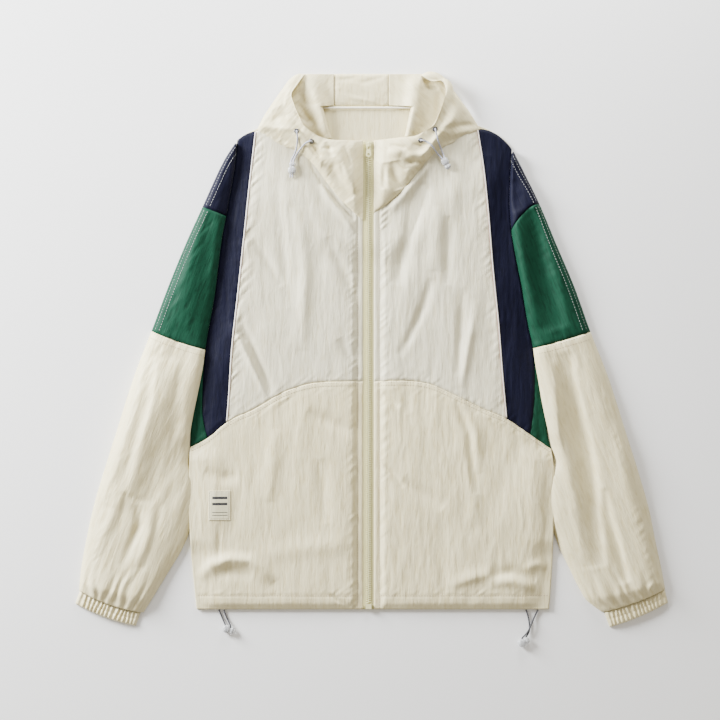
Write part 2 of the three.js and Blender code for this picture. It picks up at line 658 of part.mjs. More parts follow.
// Zip: two tapes under one chain, a slider at the top and a box at the bottom
const zipUnder = (x, y) => backUnder(x, y) + CLOTH + GAP + TAPE_LIFT;
for (const s of ["R", "L"]) {
  const m = s === "R" ? -1 : 1;
  sheet(
    "zip_tape_" + s, ZIP,
    (u, v) => [m * mix(0, FRONT_EDGE, u), mix(0, ZIP_TOP - 1, v)],
    zipUnder, 1, 26, TAPE_WALL,
  );
}
const chainUnder = (x, y) => zipUnder(x, y) + TAPE_WALL + 2 * GAP;
const SLIDER_END = 640;
sheet(
  "zip_chain", ZIP,
  (u, v) => [mix(-CHAIN_HALF, CHAIN_HALF, u), mix(8, SLIDER_END, v)],
  chainUnder, 1, 26, CHAIN_WALL,
);
sheet("zip_box", ZIP, (u, v) => [mix(-4.2, 4.2, u), mix(0.5, 7.6, v)], chainUnder, 1, 1, BOX_WALL);

function solidOf(geometry) {
  const g = geometry.index ? geometry.toNonIndexed() : geometry;
  const position = g.getAttribute("position");
  const seen = new Map();
  const vertices = [];
  const triangles = [];
  for (let i = 0; i < position.count; i++) {
    const p = [position.getX(i), position.getY(i), position.getZ(i)].map((c) => Math.round(c * 1e4) / 1e4);
    const key = p.join();
    if (!seen.has(key)) {
      seen.set(key, vertices.length / 3);
      vertices.push(...p);
    }
    triangles.push(seen.get(key));
  }
  const vertProperties = new Float32Array(vertices);
  const triVerts = new Uint32Array(triangles);
  return new wasm.Manifold(new wasm.Mesh({ numProp: 3, vertProperties, triVerts }));
}

function geometryOf(solid) {
  const { vertProperties, triVerts } = solid.getMesh();
  const geometry = new THREE.BufferGeometry();
  geometry.setAttribute("position", new THREE.Float32BufferAttribute(vertProperties, 3));
  geometry.setIndex([...triVerts]);
  return geometry;
}

// The slider: a shield-shaped plate with a bridge that the pull tab hangs on
const SLIDER = { y: 646, base: zipUnder(0, 640) + TAPE_WALL + GAP, thick: 2.4, half: 4.6, length: 11 };
const BRIDGE = { half: 1.1, back: 3.4, front: -3.4, rise: 3.4, wall: 0.9 };
const PULL = {
  y: SLIDER.y - 1.2, z: SLIDER.base + SLIDER.thick + 1.35, bar: 0.55, length: 17, half: 3.6, eye: 1.8,
};
{
  const h = SLIDER.length / 2;
  const plate = new THREE.Shape();
  plate.moveTo(-SLIDER.half * 0.62, -h);
  plate.lineTo(SLIDER.half * 0.62, -h);
  plate.lineTo(SLIDER.half * 0.8, 0);
  plate.lineTo(SLIDER.half, h * 0.55);
  plate.lineTo(SLIDER.half * 0.7, h);
  plate.lineTo(-SLIDER.half * 0.7, h);
  plate.lineTo(-SLIDER.half, h * 0.55);
  plate.lineTo(-SLIDER.half * 0.8, 0);
  const base = new THREE.ExtrudeGeometry(plate, { depth: SLIDER.thick, bevelEnabled: false });
  base.translate(0, SLIDER.y, SLIDER.base);
  const arch = new THREE.Shape();
  arch.moveTo(BRIDGE.front, -0.2);
  arch.lineTo(BRIDGE.back, -0.2);
  arch.lineTo(BRIDGE.back, BRIDGE.rise - 0.8);
  arch.lineTo(BRIDGE.back - 0.8, BRIDGE.rise);
  arch.lineTo(BRIDGE.front + 0.8, BRIDGE.rise);
  arch.lineTo(BRIDGE.front, BRIDGE.rise - 0.8);
  const eye = new THREE.Path();
  eye.moveTo(BRIDGE.front + BRIDGE.wall, 0.35);
  eye.lineTo(BRIDGE.front + BRIDGE.wall, BRIDGE.rise - BRIDGE.wall);
  eye.lineTo(BRIDGE.back - BRIDGE.wall, BRIDGE.rise - BRIDGE.wall);
  eye.lineTo(BRIDGE.back - BRIDGE.wall, 0.35);
  arch.holes.push(eye);
  const bridge = new THREE.ExtrudeGeometry(arch, { depth: 2 * BRIDGE.half, bevelEnabled: false });
  bridge.translate(0, 0, -BRIDGE.half);
  bridge.rotateX(Math.PI / 2);
  bridge.rotateZ(Math.PI / 2);
  bridge.translate(0, SLIDER.y, SLIDER.base + SLIDER.thick);
  add("zip_slider", geometryOf(solidOf(base).add(solidOf(bridge))), ZIP, 0.45);
}

// The pull tab: a crossbar through the bridge, a slot beside it, and a round eye at the free end
{
  const tip = -PULL.length + PULL.half + 1.2;
  const tab = new THREE.Shape();
  tab.moveTo(-2.6, PULL.bar);
  tab.lineTo(-2.6, -6);
  tab.lineTo(-3, -7.5);
  tab.absarc(0, tip, PULL.half, Math.PI * 0.9, Math.PI * 2.1, false);
  tab.lineTo(3, -7.5);
  tab.lineTo(2.6, -6);
  tab.lineTo(2.6, PULL.bar);
  const slot = new THREE.Path();
  slot.moveTo(-1.5, -PULL.bar);
  slot.lineTo(1.5, -PULL.bar);
  slot.lineTo(1.5, -5);
  slot.lineTo(-1.5, -5);
  const eye = new THREE.Path();
  eye.absarc(0, tip, PULL.eye, 0, 2 * Math.PI, true);
  tab.holes.push(slot, eye);
  const shape = { depth: 2 * PULL.bar, bevelEnabled: false, curveSegments: 8 };
  const geometry = new THREE.ExtrudeGeometry(tab, shape);
  geometry.translate(0, 0, -PULL.bar);
  const mesh = add("zip_pull_tab", geometry, ZIP, 0.45);
  mesh.position.set(0, PULL.y, PULL.z);
}

// A bare woven patch on the lower front
const PATCH = { left: -222, right: -192, bottom: 124, top: 165 };
sheet(
  "patch", WHITE,
  (u, v) => [mix(PATCH.left, PATCH.right, u), mix(PATCH.bottom, PATCH.top, v)],
  (x, y) => frontUnder(x, y) + CLOTH + 2 * GAP, 2, 3, TAPE_WALL,
);

// Eyelets in the hood, each square to the cloth under it
const EYELET = { hole: 1.7, rim: 3.6, rise: 1.1, seat: 1 };
const eyelets = table(["name", "x", "y"], [
  ["R_outer", -99.6, 664.2], ["R_inner", -79, 650], ["L_outer", 92.4, 666.6], ["L_inner", 72.3, 651.2],
]);
for (const e of eyelets) {
  const profile = [
    [EYELET.hole, 0], [EYELET.rim, 0], [EYELET.rim - 0.3, EYELET.rise * 0.7],
    [EYELET.hole + 0.4, EYELET.rise], [EYELET.hole, 0],
  ];
  const ring = add(
    "eyelet_" + e.name,
    new THREE.LatheGeometry(profile.map(([r, z]) => new THREE.Vector2(r, z)), 10),
    METAL, 0.35, 0.9,
  );
  const cloth = meshes["hood_side_" + e.name[0]];
  const reach = EYELET.rim;
  const slopeX = (topOf(cloth, e.x + reach, e.y) - topOf(cloth, e.x - reach, e.y)) / (2 * reach);
  const slopeY = (topOf(cloth, e.x, e.y + reach) - topOf(cloth, e.x, e.y - reach)) / (2 * reach);
  const normal = new THREE.Vector3(-slopeX, -slopeY, 1).normalize();
  const seat = topOf(cloth, e.x, e.y) + EYELET.seat;
  ring.position.set(e.x, e.y, seat);
  ring.quaternion.setFromUnitVectors(new THREE.Vector3(0, 1, 0), normal);
}

// Cords: each strand runs from its eyelet, or out of the hem, to its lock
const LOCK = { long: 8.3, short: 5.6, thick: 7 };
const locks = table(["name", "x", "y", "z", "turn"], [
  ["hood_R", -106.2, 613.5, 8.2, 86], ["hood_L", 107.7, 619.9, 9.2, -61],
  ["hem_R", -195, -28.3, 0, -17], ["hem_L", 216.1, -45.6, 0, 29],
]);
for (const l of locks) {
  const profile = [[0, 0], [0.8, 0], [1, 0.25], [1, 0.75], [0.8, 1], [0, 1]];
  const bead = new THREE.LatheGeometry(profile.map(([r, z]) => new THREE.Vector2(r, z)), 12);
  bead.rotateX(Math.PI / 2);
  bead.scale(LOCK.long, LOCK.short, LOCK.thick);
  const mesh = add("cord_lock_" + l.name, bead, CLEAR, 0.1);
  mesh.position.set(l.x, l.y, l.z);
  mesh.rotation.z = THREE.MathUtils.degToRad(l.turn);
}

const strands = {
  hood_R_outer: [
    [-99.6, 664.2, 22.2], [-99.6, 664, 25.2], [-99.4, 662.2, 26.2], [-99, 659.5, 25.4],
    [-98.6, 656.5, 24.2],
    [-98.5, 653.5, 22.9], [-98.6, 650.5, 21], [-98.9, 647.5, 18.4], [-99.4, 644.5, 15.9],
    [-100, 641.5, 13.6],
    [-100.8, 638.5, 11.5], [-101.9, 635.3, 10], [-103.5, 631.5, 9.6], [-105.4, 628, 9.8],
    [-106.8, 625, 10.6],
    [-107.4, 622.4, 11.4],
  ],
  hood_R_inner: [
    [-79, 650, 21.2], [-79.2, 650, 23.9], [-81.2, 649.7, 24.9], [-84, 648.9, 24.5], [-86.5, 647.6, 24.2],
    [-88.6, 646, 23.9], [-90.3, 644.4, 22.4], [-91.8, 642.9, 19.5], [-93.4, 641.2, 17.1],
    [-95, 639.3, 14.4],
    [-96.6, 637.3, 12], [-98.3, 635, 10.3], [-100.2, 631.8, 9.6], [-102.1, 628.2, 9.8], [-103.5, 625, 10.6],
    [-104.2, 622.6, 11.4],
  ],
  hood_L_outer: [
    [92.4, 666.6, 21.7], [92.5, 666.4, 24.4], [92.9, 664.6, 25.4], [93.5, 661.8, 25], [94.2, 658.8, 23.8],
    [95, 655.8, 23.9], [95.9, 652.8, 22.6], [96.9, 649.8, 19.6], [98, 646.8, 15.9], [99.2, 643.8, 13.5],
    [100.5, 640.8, 11.5], [101.9, 637.6, 10.2], [103.2, 634.6, 9.8], [104.1, 632, 10.5], [104.7, 630, 11.4],
    [104.9, 628.7, 12.2],
  ],
  hood_L_inner: [
    [72.3, 651.2, 20.2], [72.5, 651.2, 23], [74.5, 651, 24], [77.6, 650.4, 23.3], [80.3, 649.4, 22.3],
    [82.8, 648, 22.6], [85, 646.3, 22.8], [87, 644.5, 23.2], [88.8, 642.6, 21.4], [90.6, 640.5, 18],
    [92.4, 638.2, 14.3], [94.2, 635.8, 11.8], [96.2, 633.2, 10.2], [98.4, 630.6, 10.2],
    [100.4, 628.6, 11.2],
    [101.7, 627.2, 12.2],
  ],
  hem_R_outer: [
    [-208.2, -0.7, 1.8], [-207.6, -2.3, 1.7], [-207, -3.9, 1.6], [-206.4, -5.5, 1.5], [-205.8, -7.1, 1.4],
    [-205.1, -8.7, 1.3], [-204.4, -10.3, 1.3], [-203.7, -11.9, 1.3], [-203, -13.5, 1.4],
    [-202.3, -15.1, 1.6],
    [-201.6, -16.6, 1.9], [-201, -18, 2.3], [-200.4, -19.3, 2.7], [-199.8, -20.6, 3.1],
    [-199.2, -21.9, 3.5],
  ],
  hem_R_inner: [
    [-201.1, -0.7, 1.8], [-200.8, -2.3, 1.7], [-200.4, -3.9, 1.6], [-200, -5.5, 1.5], [-199.5, -7.1, 1.4],
    [-198.9, -8.7, 1.3], [-198.2, -10.3, 1.3], [-197.5, -11.9, 1.3], [-196.7, -13.5, 1.4],
    [-195.9, -15.1, 1.6],
    [-195.1, -16.6, 1.9], [-194.3, -18.1, 2.3], [-193.5, -19.6, 2.7], [-192.8, -21.1, 3.1],
    [-192.1, -22.5, 3.5],
  ],
  hem_L_inner: [
    [219.3, -0.7, 1.8], [220.3, -3.5, 1.6], [221.2, -6.5, 1.4], [222, -9.5, 1.3], [222.7, -12.5, 1.3],
    [223.3, -15.5, 1.3], [223.8, -18.5, 1.3], [224.1, -21.5, 1.3], [224.2, -24.5, 1.3], [224.1, -27.5, 1.3],
    [223.7, -30, 1.4], [222.9, -32.4, 1.7], [221.8, -34.7, 2.2], [220.6, -36.8, 2.8], [219.3, -38.6, 3.3],
  ],
  hem_L_outer: [
    [236, -0.7, 1.8], [234.4, -3.9, 1.6], [232.8, -7.1, 1.5], [231.3, -10.3, 1.6], [229.8, -13.4, 2],
    [228.4, -16.5, 2.7], [227.1, -19.5, 3.4], [225.9, -22.4, 3.9], [224.7, -25.2, 4.1], [223.4, -28, 4.2],
    [221.9, -30.7, 4.2], [220.2, -33.2, 4.1], [218.2, -35.6, 3.9], [216.2, -37.7, 3.7], [214.6, -39.2, 3.5],
  ],
};
const section = new THREE.Shape(
  Array.from({ length: CORD_SIDES }, (_, i) => {
    const a = (2 * Math.PI * i) / CORD_SIDES;
    return new THREE.Vector2((CORD / 2) * Math.cos(a), (CORD / 2) * Math.sin(a));
  }),
);
for (const [name, points] of Object.entries(strands)) {
  const route = new THREE.CatmullRomCurve3(points.map((p) => new THREE.Vector3(...p)));
  const steps = Math.round(route.getLength() / (2.1 * CORD));
  const tube = new THREE.ExtrudeGeometry(section, { steps, extrudePath: route, bevelEnabled: false });
  add("cord_" + name, tube, name.startsWith("hood") ? BRAID : ELASTIC, 0.8);
}

export default group;
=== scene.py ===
import math

import bpy
import numpy as np
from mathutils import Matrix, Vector


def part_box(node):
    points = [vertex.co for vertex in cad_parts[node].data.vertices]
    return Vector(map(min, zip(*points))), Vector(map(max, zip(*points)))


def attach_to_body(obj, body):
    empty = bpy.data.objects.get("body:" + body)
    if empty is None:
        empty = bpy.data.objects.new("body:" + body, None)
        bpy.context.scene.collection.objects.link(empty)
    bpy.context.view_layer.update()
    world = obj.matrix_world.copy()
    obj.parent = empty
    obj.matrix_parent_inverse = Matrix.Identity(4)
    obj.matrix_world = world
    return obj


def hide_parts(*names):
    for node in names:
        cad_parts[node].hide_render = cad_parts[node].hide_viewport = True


# A hooded windbreaker laid flat, front up. Tables are in millimetres in the pattern's frame: x from the
# zip's centre line, y up from the hem, z up from the floor. R is the wearer's right, L the wearer's left.
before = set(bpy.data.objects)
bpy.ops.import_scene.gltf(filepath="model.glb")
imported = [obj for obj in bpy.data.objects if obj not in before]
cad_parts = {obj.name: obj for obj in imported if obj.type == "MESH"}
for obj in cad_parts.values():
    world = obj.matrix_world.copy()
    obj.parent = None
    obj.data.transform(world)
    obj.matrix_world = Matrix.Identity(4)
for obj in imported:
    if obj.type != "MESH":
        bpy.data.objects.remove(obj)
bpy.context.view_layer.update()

MM = 0.001
ORIGIN = np.array([4.5, 361.4, 0.0])  # middle of the garment in the pattern's frame
CLOTH = 1.2  # wall of the solids that the cloth lies on
GAP = 0.3
SKIN = 0.7  # wall of the visible cloth
ABOVE_FLOOR = 0.2
LOW = 0.8  # a lower layer's face above what it lies on
OVER_LOW = 0.85 + SKIN  # the height to which an upper layer's edge rolls down
TURNED_EDGE = CLOTH + GAP + 0.5
FRONT_EDGE = 7.5
UNDERARM = 362  # the armholes are above it, the sides below
ZIP_TOP = 652
BACK_NECK = 700
HOOD_FOLD = 745
OVERLAP_LIFT = 4.8
LOFT = 1.4
CORD = 2.2
HEM_STITCH = 19  # from the hem up to its topstitch
ZIP_STITCH = 7.5  # from the front's edge to its topstitch
POCKET_STITCHES = (6.0, 1.8)  # below the pocket's seam
POCKET_TOP = 317  # the pocket's seam at the front edge
HOOD_SEAMS = (-47.5, 29)  # x of the hood middle's two seams
HOOD_SHOULDER = 155  # x where the hood's outline meets the shoulder
NECK_BINDING = (-64.5, 60.5, 3.7, 1.3)  # its ends in x, and how far below the back neck its edges lie
ROOT = "jacket"
# sign of x, heights where seams end, bow of the shoulder, and a seed for the sleeve's relief
SIDES = {
    "R": {"sign": -1, "shoulder": 652, "bow": 3, "pipe_top": 665, "pipe_end": 260, "underarm": 361,
          "gusset_end": 238, "side_end": 225, "seed": 23},
    "L": {"sign": 1, "shoulder": 640, "bow": 9, "pipe_top": 667, "pipe_end": 265, "underarm": 363,
          "gusset_end": 243, "side_end": 223, "seed": 31},
}


def row(points):
    """Points of the pattern's frame, in millimetres, as points of the row's frame, in metres."""
    return (np.asarray(points, float) - ORIGIN) * MM


# Camera, straight above
CAMERA = {"x": -0.0163, "y": -0.0146, "wide": 1.0008, "lens": 150.0, "sensor": 36.0, "level": 0.008}
camera_data = bpy.data.cameras.new("camera")
camera_data.lens = CAMERA["lens"]
camera_data.sensor_width = CAMERA["sensor"]
camera = bpy.data.objects.new("camera", camera_data)
camera.location = (
    CAMERA["x"],
    CAMERA["y"],
    CAMERA["level"] + CAMERA["wide"] * CAMERA["lens"] / CAMERA["sensor"],
)
bpy.context.collection.objects.link(camera)
bpy.context.scene.camera = camera


# Materials
def material(name, color, roughness, **sockets):
    m = bpy.data.materials.new(name)
    m.use_nodes = True
    inputs = m.node_tree.nodes["Principled BSDF"].inputs
    inputs["Base Color"].default_value = (*color, 1)
    inputs["Roughness"].default_value = roughness
    for key, value in sockets.items():
        inputs[key.replace("_", " ")].default_value = value
    return m


def shader_node(tree, kind, values, links, **settings):
    """The outputs of a new shader node with these settings, input values and links."""
    made = tree.nodes.new("ShaderNode" + kind)
    for key, value in settings.items():
        setattr(made, key, value)
    for key, value in values.items():
        made.inputs[key].default_value = value
    for key, socket in links.items():
        tree.links.new(socket, made.inputs[key])
    return made.outputs


def scaled_noise(tree, size, turn, detail, rough=0.55, distortion=0.0):
    """Noise whose features have this size in metres, turned about Z."""
    at = shader_node(tree, "TexCoord", {}, {})["Object"]
    turned = {"Rotation": (0, 0, turn), "Scale": size}
    at = shader_node(tree, "Mapping", turned, {"Vector": at}, vector_type="TEXTURE")["Vector"]
    values = {"Scale": 1.0, "Detail": detail, "Roughness": rough, "Distortion": distortion}
    return shader_node(tree, "TexNoise", values, {"Vector": at})["Fac"]


def tint(tree, factor, stops):
    """A colour ramp over a factor: stops are (position, colour)."""
    ramp = tree.nodes.new("ShaderNodeValToRGB")
    elements = ramp.color_ramp.elements
    while len(elements) < len(stops):
        elements.new(0.5)
    for element, (position, color) in zip(elements, stops):
        element.position = position
        element.color = (*color, 1)
    tree.links.new(factor, ramp.inputs["Fac"])
    return ramp.outputs["Color"]


def bump(tree, height, distance, strength, **under):
    values = {"Strength": strength, "Distance": distance}
    return shader_node(tree, "Bump", values, {"Height": height, **under})["Normal"]


def dress(m, color, normal):
    """Links a colour and a normal into a material."""
    inputs = m.node_tree.nodes["Principled BSDF"].inputs
    m.node_tree.links.new(color, inputs["Base Color"])
    m.node_tree.links.new(normal, inputs["Normal"])
    return m


def nylon(name, base, shade, turn=0.0, roughness=0.5, sheen=0.12, crinkle=0.5, specular=0.4):
    """Thin crinkled nylon: streaks along the grain, a fine weave, and a slightly uneven colour. The streaks
    also paint shade into the crinkles' troughs and a faint highlight onto their crests.
    """
    look = {"Sheen_Weight": sheen, "Sheen_Roughness": 0.4, "Specular_IOR_Level": specular}
    m = material(name, base, roughness, **look)
    tree = m.node_tree
    streak = scaled_noise(tree, (0.0032, 0.021, 0.01), turn, 4.0, 0.62, 0.5)
    broad = scaled_noise(tree, (0.03, 0.075, 0.03), turn, 2.0)
    weave = scaled_noise(tree, (0.0007, 0.0011, 0.001), turn, 2.0)
    # painted shade and highlight: the colour follows the crinkle's relief, going to the darker shade in its
    # troughs and a little lighter on its crests
    light = tuple(min(1.0, c * 1.03) for c in base)
    painted_crinkle_shade = tint(tree, streak, [(0.3, shade), (0.52, base), (0.8, light)])
    uneven = tint(tree, broad, [(0.25, (0.94, 0.935, 0.92)), (0.65, (1, 1, 1))])
    multiply = {"data_type": "RGBA", "blend_type": "MULTIPLY"}
    color = shader_node(tree, "Mix", {0: 1.0}, {6: painted_crinkle_shade, 7: uneven}, **multiply)[2]
    crinkled = bump(tree, streak, 0.0016, crinkle)
    return dress(m, color, bump(tree, weave, 0.00012, 0.5, Normal=crinkled))


DARK_CLOTH = {"roughness": 0.62, "sheen": 0.02, "crinkle": 0.4, "specular": 0.12}
# each nylon: its own colour, then a darker, warmer tone that is painted as shade into the crinkles' troughs,
# then its look
COLORS = {
    "cream": ((0.81, 0.73, 0.455), (0.71, 0.615, 0.335), {}),
    "white": ((0.74, 0.695, 0.515), (0.66, 0.60, 0.405), {}),
    "navy": ((0.0032, 0.0037, 0.0155), (0.002, 0.0023, 0.0095), DARK_CLOTH),
    "green": ((0.0042, 0.046, 0.0245), (0.0026, 0.028, 0.0145), DARK_CLOTH),
}
SLEEVE_TURN = {"R": -0.36, "L": 0.36}


def fabric(name, color, turn=0.0):
    """A nylon of this colour with its grain turned, and its slot."""
    base, shade, look = COLORS[color]
    return nylon(name, base, shade, turn, **look), color + "_cloth"


FABRIC = {color: fabric(color + "_nylon", color) for color in COLORS}
for s, turn in SLEEVE_TURN.items():
    for color in ("cream", "navy", "green"):
        FABRIC[color + "_" + s] = fabric("%s_sleeve_%s" % (color, s), color, turn)
    FABRIC["hood_" + s] = fabric("cream_hood_" + s, "cream", 2.2 * turn)


def grained(name, base, shade, roughness, size, detail, distance, strength, **sockets):
    """A slightly uneven colour and face."""
    m = material(name, base, roughness, **sockets)
    grain = scaled_noise(m.node_tree, size, 0.0, detail)
    color = tint(m.node_tree, grain, [(0.3, shade), (0.7, base)])
    return dress(m, color, bump(m.node_tree, grain, distance, strength))


def fibre(name, base, shade, size):
    """Woven tape, braid or thread."""
    return grained(name, base, shade, 0.75, size, 3.0, 0.0003, 0.6, Sheen_Weight=0.2)


def hard(name, base, shade, roughness, **sockets):
    """Moulded plastic or plated metal."""
    return grained(name, base, shade, roughness, (0.002, 0.002, 0.002), 4.0, 0.00006, 0.4, **sockets)


TAPE = fibre("zip_tape_weave", (0.70, 0.655, 0.33), (0.58, 0.53, 0.235), (0.0009, 0.0016, 0.001))
TEETH = hard("zip_teeth_plastic", (0.80, 0.775, 0.46), (0.72, 0.69, 0.38), 0.4)
SLIDER_MAT = hard("zip_slider_plastic", (0.79, 0.755, 0.44), (0.70, 0.66, 0.36), 0.38)
METAL = hard("eyelet_gunmetal", (0.16, 0.16, 0.17), (0.09, 0.09, 0.1), 0.3, Metallic=1.0)
CLEAR = hard("lock_clear_plastic", (0.86, 0.87, 0.88), (0.78, 0.79, 0.81), 0.18,
             Transmission_Weight=0.55, IOR=1.46)
BRAID = fibre("hood_cord_braid", (0.62, 0.63, 0.72), (0.22, 0.23, 0.32), (0.0011, 0.0011, 0.0011))
ELASTIC = fibre("hem_cord_weave", (0.07, 0.07, 0.08), (0.03, 0.03, 0.035), (0.0006, 0.0006, 0.0006))
PIPING = fibre("piping_weave", (0.84, 0.80, 0.74), (0.77, 0.70, 0.64), (0.0008, 0.0016, 0.001))
PIPING_EDGE = fibre("piping_edge_weave", (0.34, 0.10, 0.08), (0.24, 0.06, 0.05), (0.0008, 0.0016, 0.001))
BINDING = fibre("binding_weave", (0.84, 0.81, 0.72), (0.74, 0.69, 0.56), (0.0012, 0.0006, 0.001))
THREAD_WHITE = fibre("thread_white", (0.5, 0.51, 0.5), (0.36, 0.37, 0.37), (0.0005, 0.0005, 0.0005))
THREAD_CREAM = fibre("thread_cream", (0.42, 0.335, 0.22), (0.34, 0.265, 0.17), (0.0005, 0.0005, 0.0005))
PATCH_BASE = fibre("patch_weave", (0.80, 0.75, 0.52), (0.70, 0.645, 0.42), (0.0008, 0.0005, 0.001))
PATCH_DARK = fibre("patch_stripe_weave", (0.03, 0.03, 0.035), (0.015, 0.015, 0.02), (0.0008, 0.0005, 0.001))


# Meshes
def mesh_object(name, points, faces, mat, smooth=True):
    """An object from points in metres and faces as arrays of indices, all with the same count of corners."""
    mesh = bpy.data.meshes.new(name)
    faces = np.asarray(faces, np.int32)
    sides = faces.shape[1]
    mesh.vertices.add(len(points))
    mesh.vertices.foreach_set("co", np.asarray(points, np.float32).ravel())
    mesh.loops.add(faces.size)
    mesh.loops.foreach_set("vertex_index", faces.ravel())
    mesh.polygons.add(len(faces))
    mesh.polygons.foreach_set("loop_start", np.arange(0, faces.size, sides, dtype=np.int32))
    mesh.polygons.foreach_set("use_smooth", np.full(len(faces), smooth))
    mesh.update(calc_edges=True)
    mesh.validate()
    mesh.materials.append(mat)
    obj = bpy.data.objects.new(name, mesh)
    bpy.context.collection.objects.link(obj)
    return obj


def ring_quads(rings, count, closed=False):
    """Faces between rings of points that follow one another; closed joins the last ring to the first."""
    r, c = np.mgrid[0:rings if closed else rings - 1, 0:count]
    near, far = r * count, (r + 1) % rings * count
    beside = (c + 1) % count
    return np.stack([near + c, near + beside, far + beside, far + c], -1).reshape(-1, 4)


def attach(obj, node, slot):
    """The object stands for a node, whose part it hides, and goes where the jacket goes. The slot is not
    used.
    """
    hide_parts(node)
    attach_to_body(obj, ROOT)
    return obj


# Cords and their locks. A lock: name, x, y, height, turn in degrees
LOCK = {"long": 8.3, "short": 5.6, "thick": 7.0, "sides": 28, "squareness": 0.8}
LOCKS = [("hood_R", -106.2, 613.5, 8.2, 86), ("hood_L", 107.7, 619.9, 9.2, -61),
         ("hem_R", -195, -28.3, 0, -17), ("hem_L", 216.1, -45.6, 0, 29)]
# along a lock and out from its axis, as parts of its half length and half width
LOCK_PROFILE = [
    (-1, 0.02), (-0.98, 0.42), (-0.9, 0.7), (-0.7, 0.92), (-0.4, 1.0), (-0.1, 0.97), (0.1, 0.84), (0.2, 0.68),
    (0.27, 0.6), (0.34, 0.62), (0.42, 0.74), (0.55, 0.85), (0.7, 0.84), (0.86, 0.7), (0.96, 0.42), (1, 0.02),
]


def lock(name, x, y, z, turn):
    """A clear cord lock: a rounded body, a waist, and the button."""
    count = LOCK["sides"]
    a = np.linspace(0, 2 * np.pi, count, endpoint=False)
    ry, rz = (np.sign(c) * np.abs(c) ** LOCK["squareness"] for c in (np.cos(a), np.sin(a)))
    sizes = [(t * LOCK["long"], r * LOCK["short"], r * LOCK["thick"] / 2) for t, r in LOCK_PROFILE]
    points = np.concatenate([np.column_stack([np.full(count, at), wide * ry, tall * rz])
                             for at, wide, tall in sizes])
    c, s = math.cos(math.radians(turn)), math.sin(math.radians(turn))
    points = points @ [[c, s, 0], [-s, c, 0], [0, 0, 1]] + [x, y, LOCK["thick"] / 2 + z]
    end = np.array([[j, j + 1, count - 2 - j, count - 1 - j] for j in range(count // 2 - 1)])
    last = (len(LOCK_PROFILE) - 1) * count
    quads = np.concatenate([ring_quads(len(LOCK_PROFILE), count), end[:, ::-1], last + end])
    obj = mesh_object("lock_" + name, row(points), quads, CLEAR)
    return attach(obj, "cord_lock_" + name, "clear_plastic")


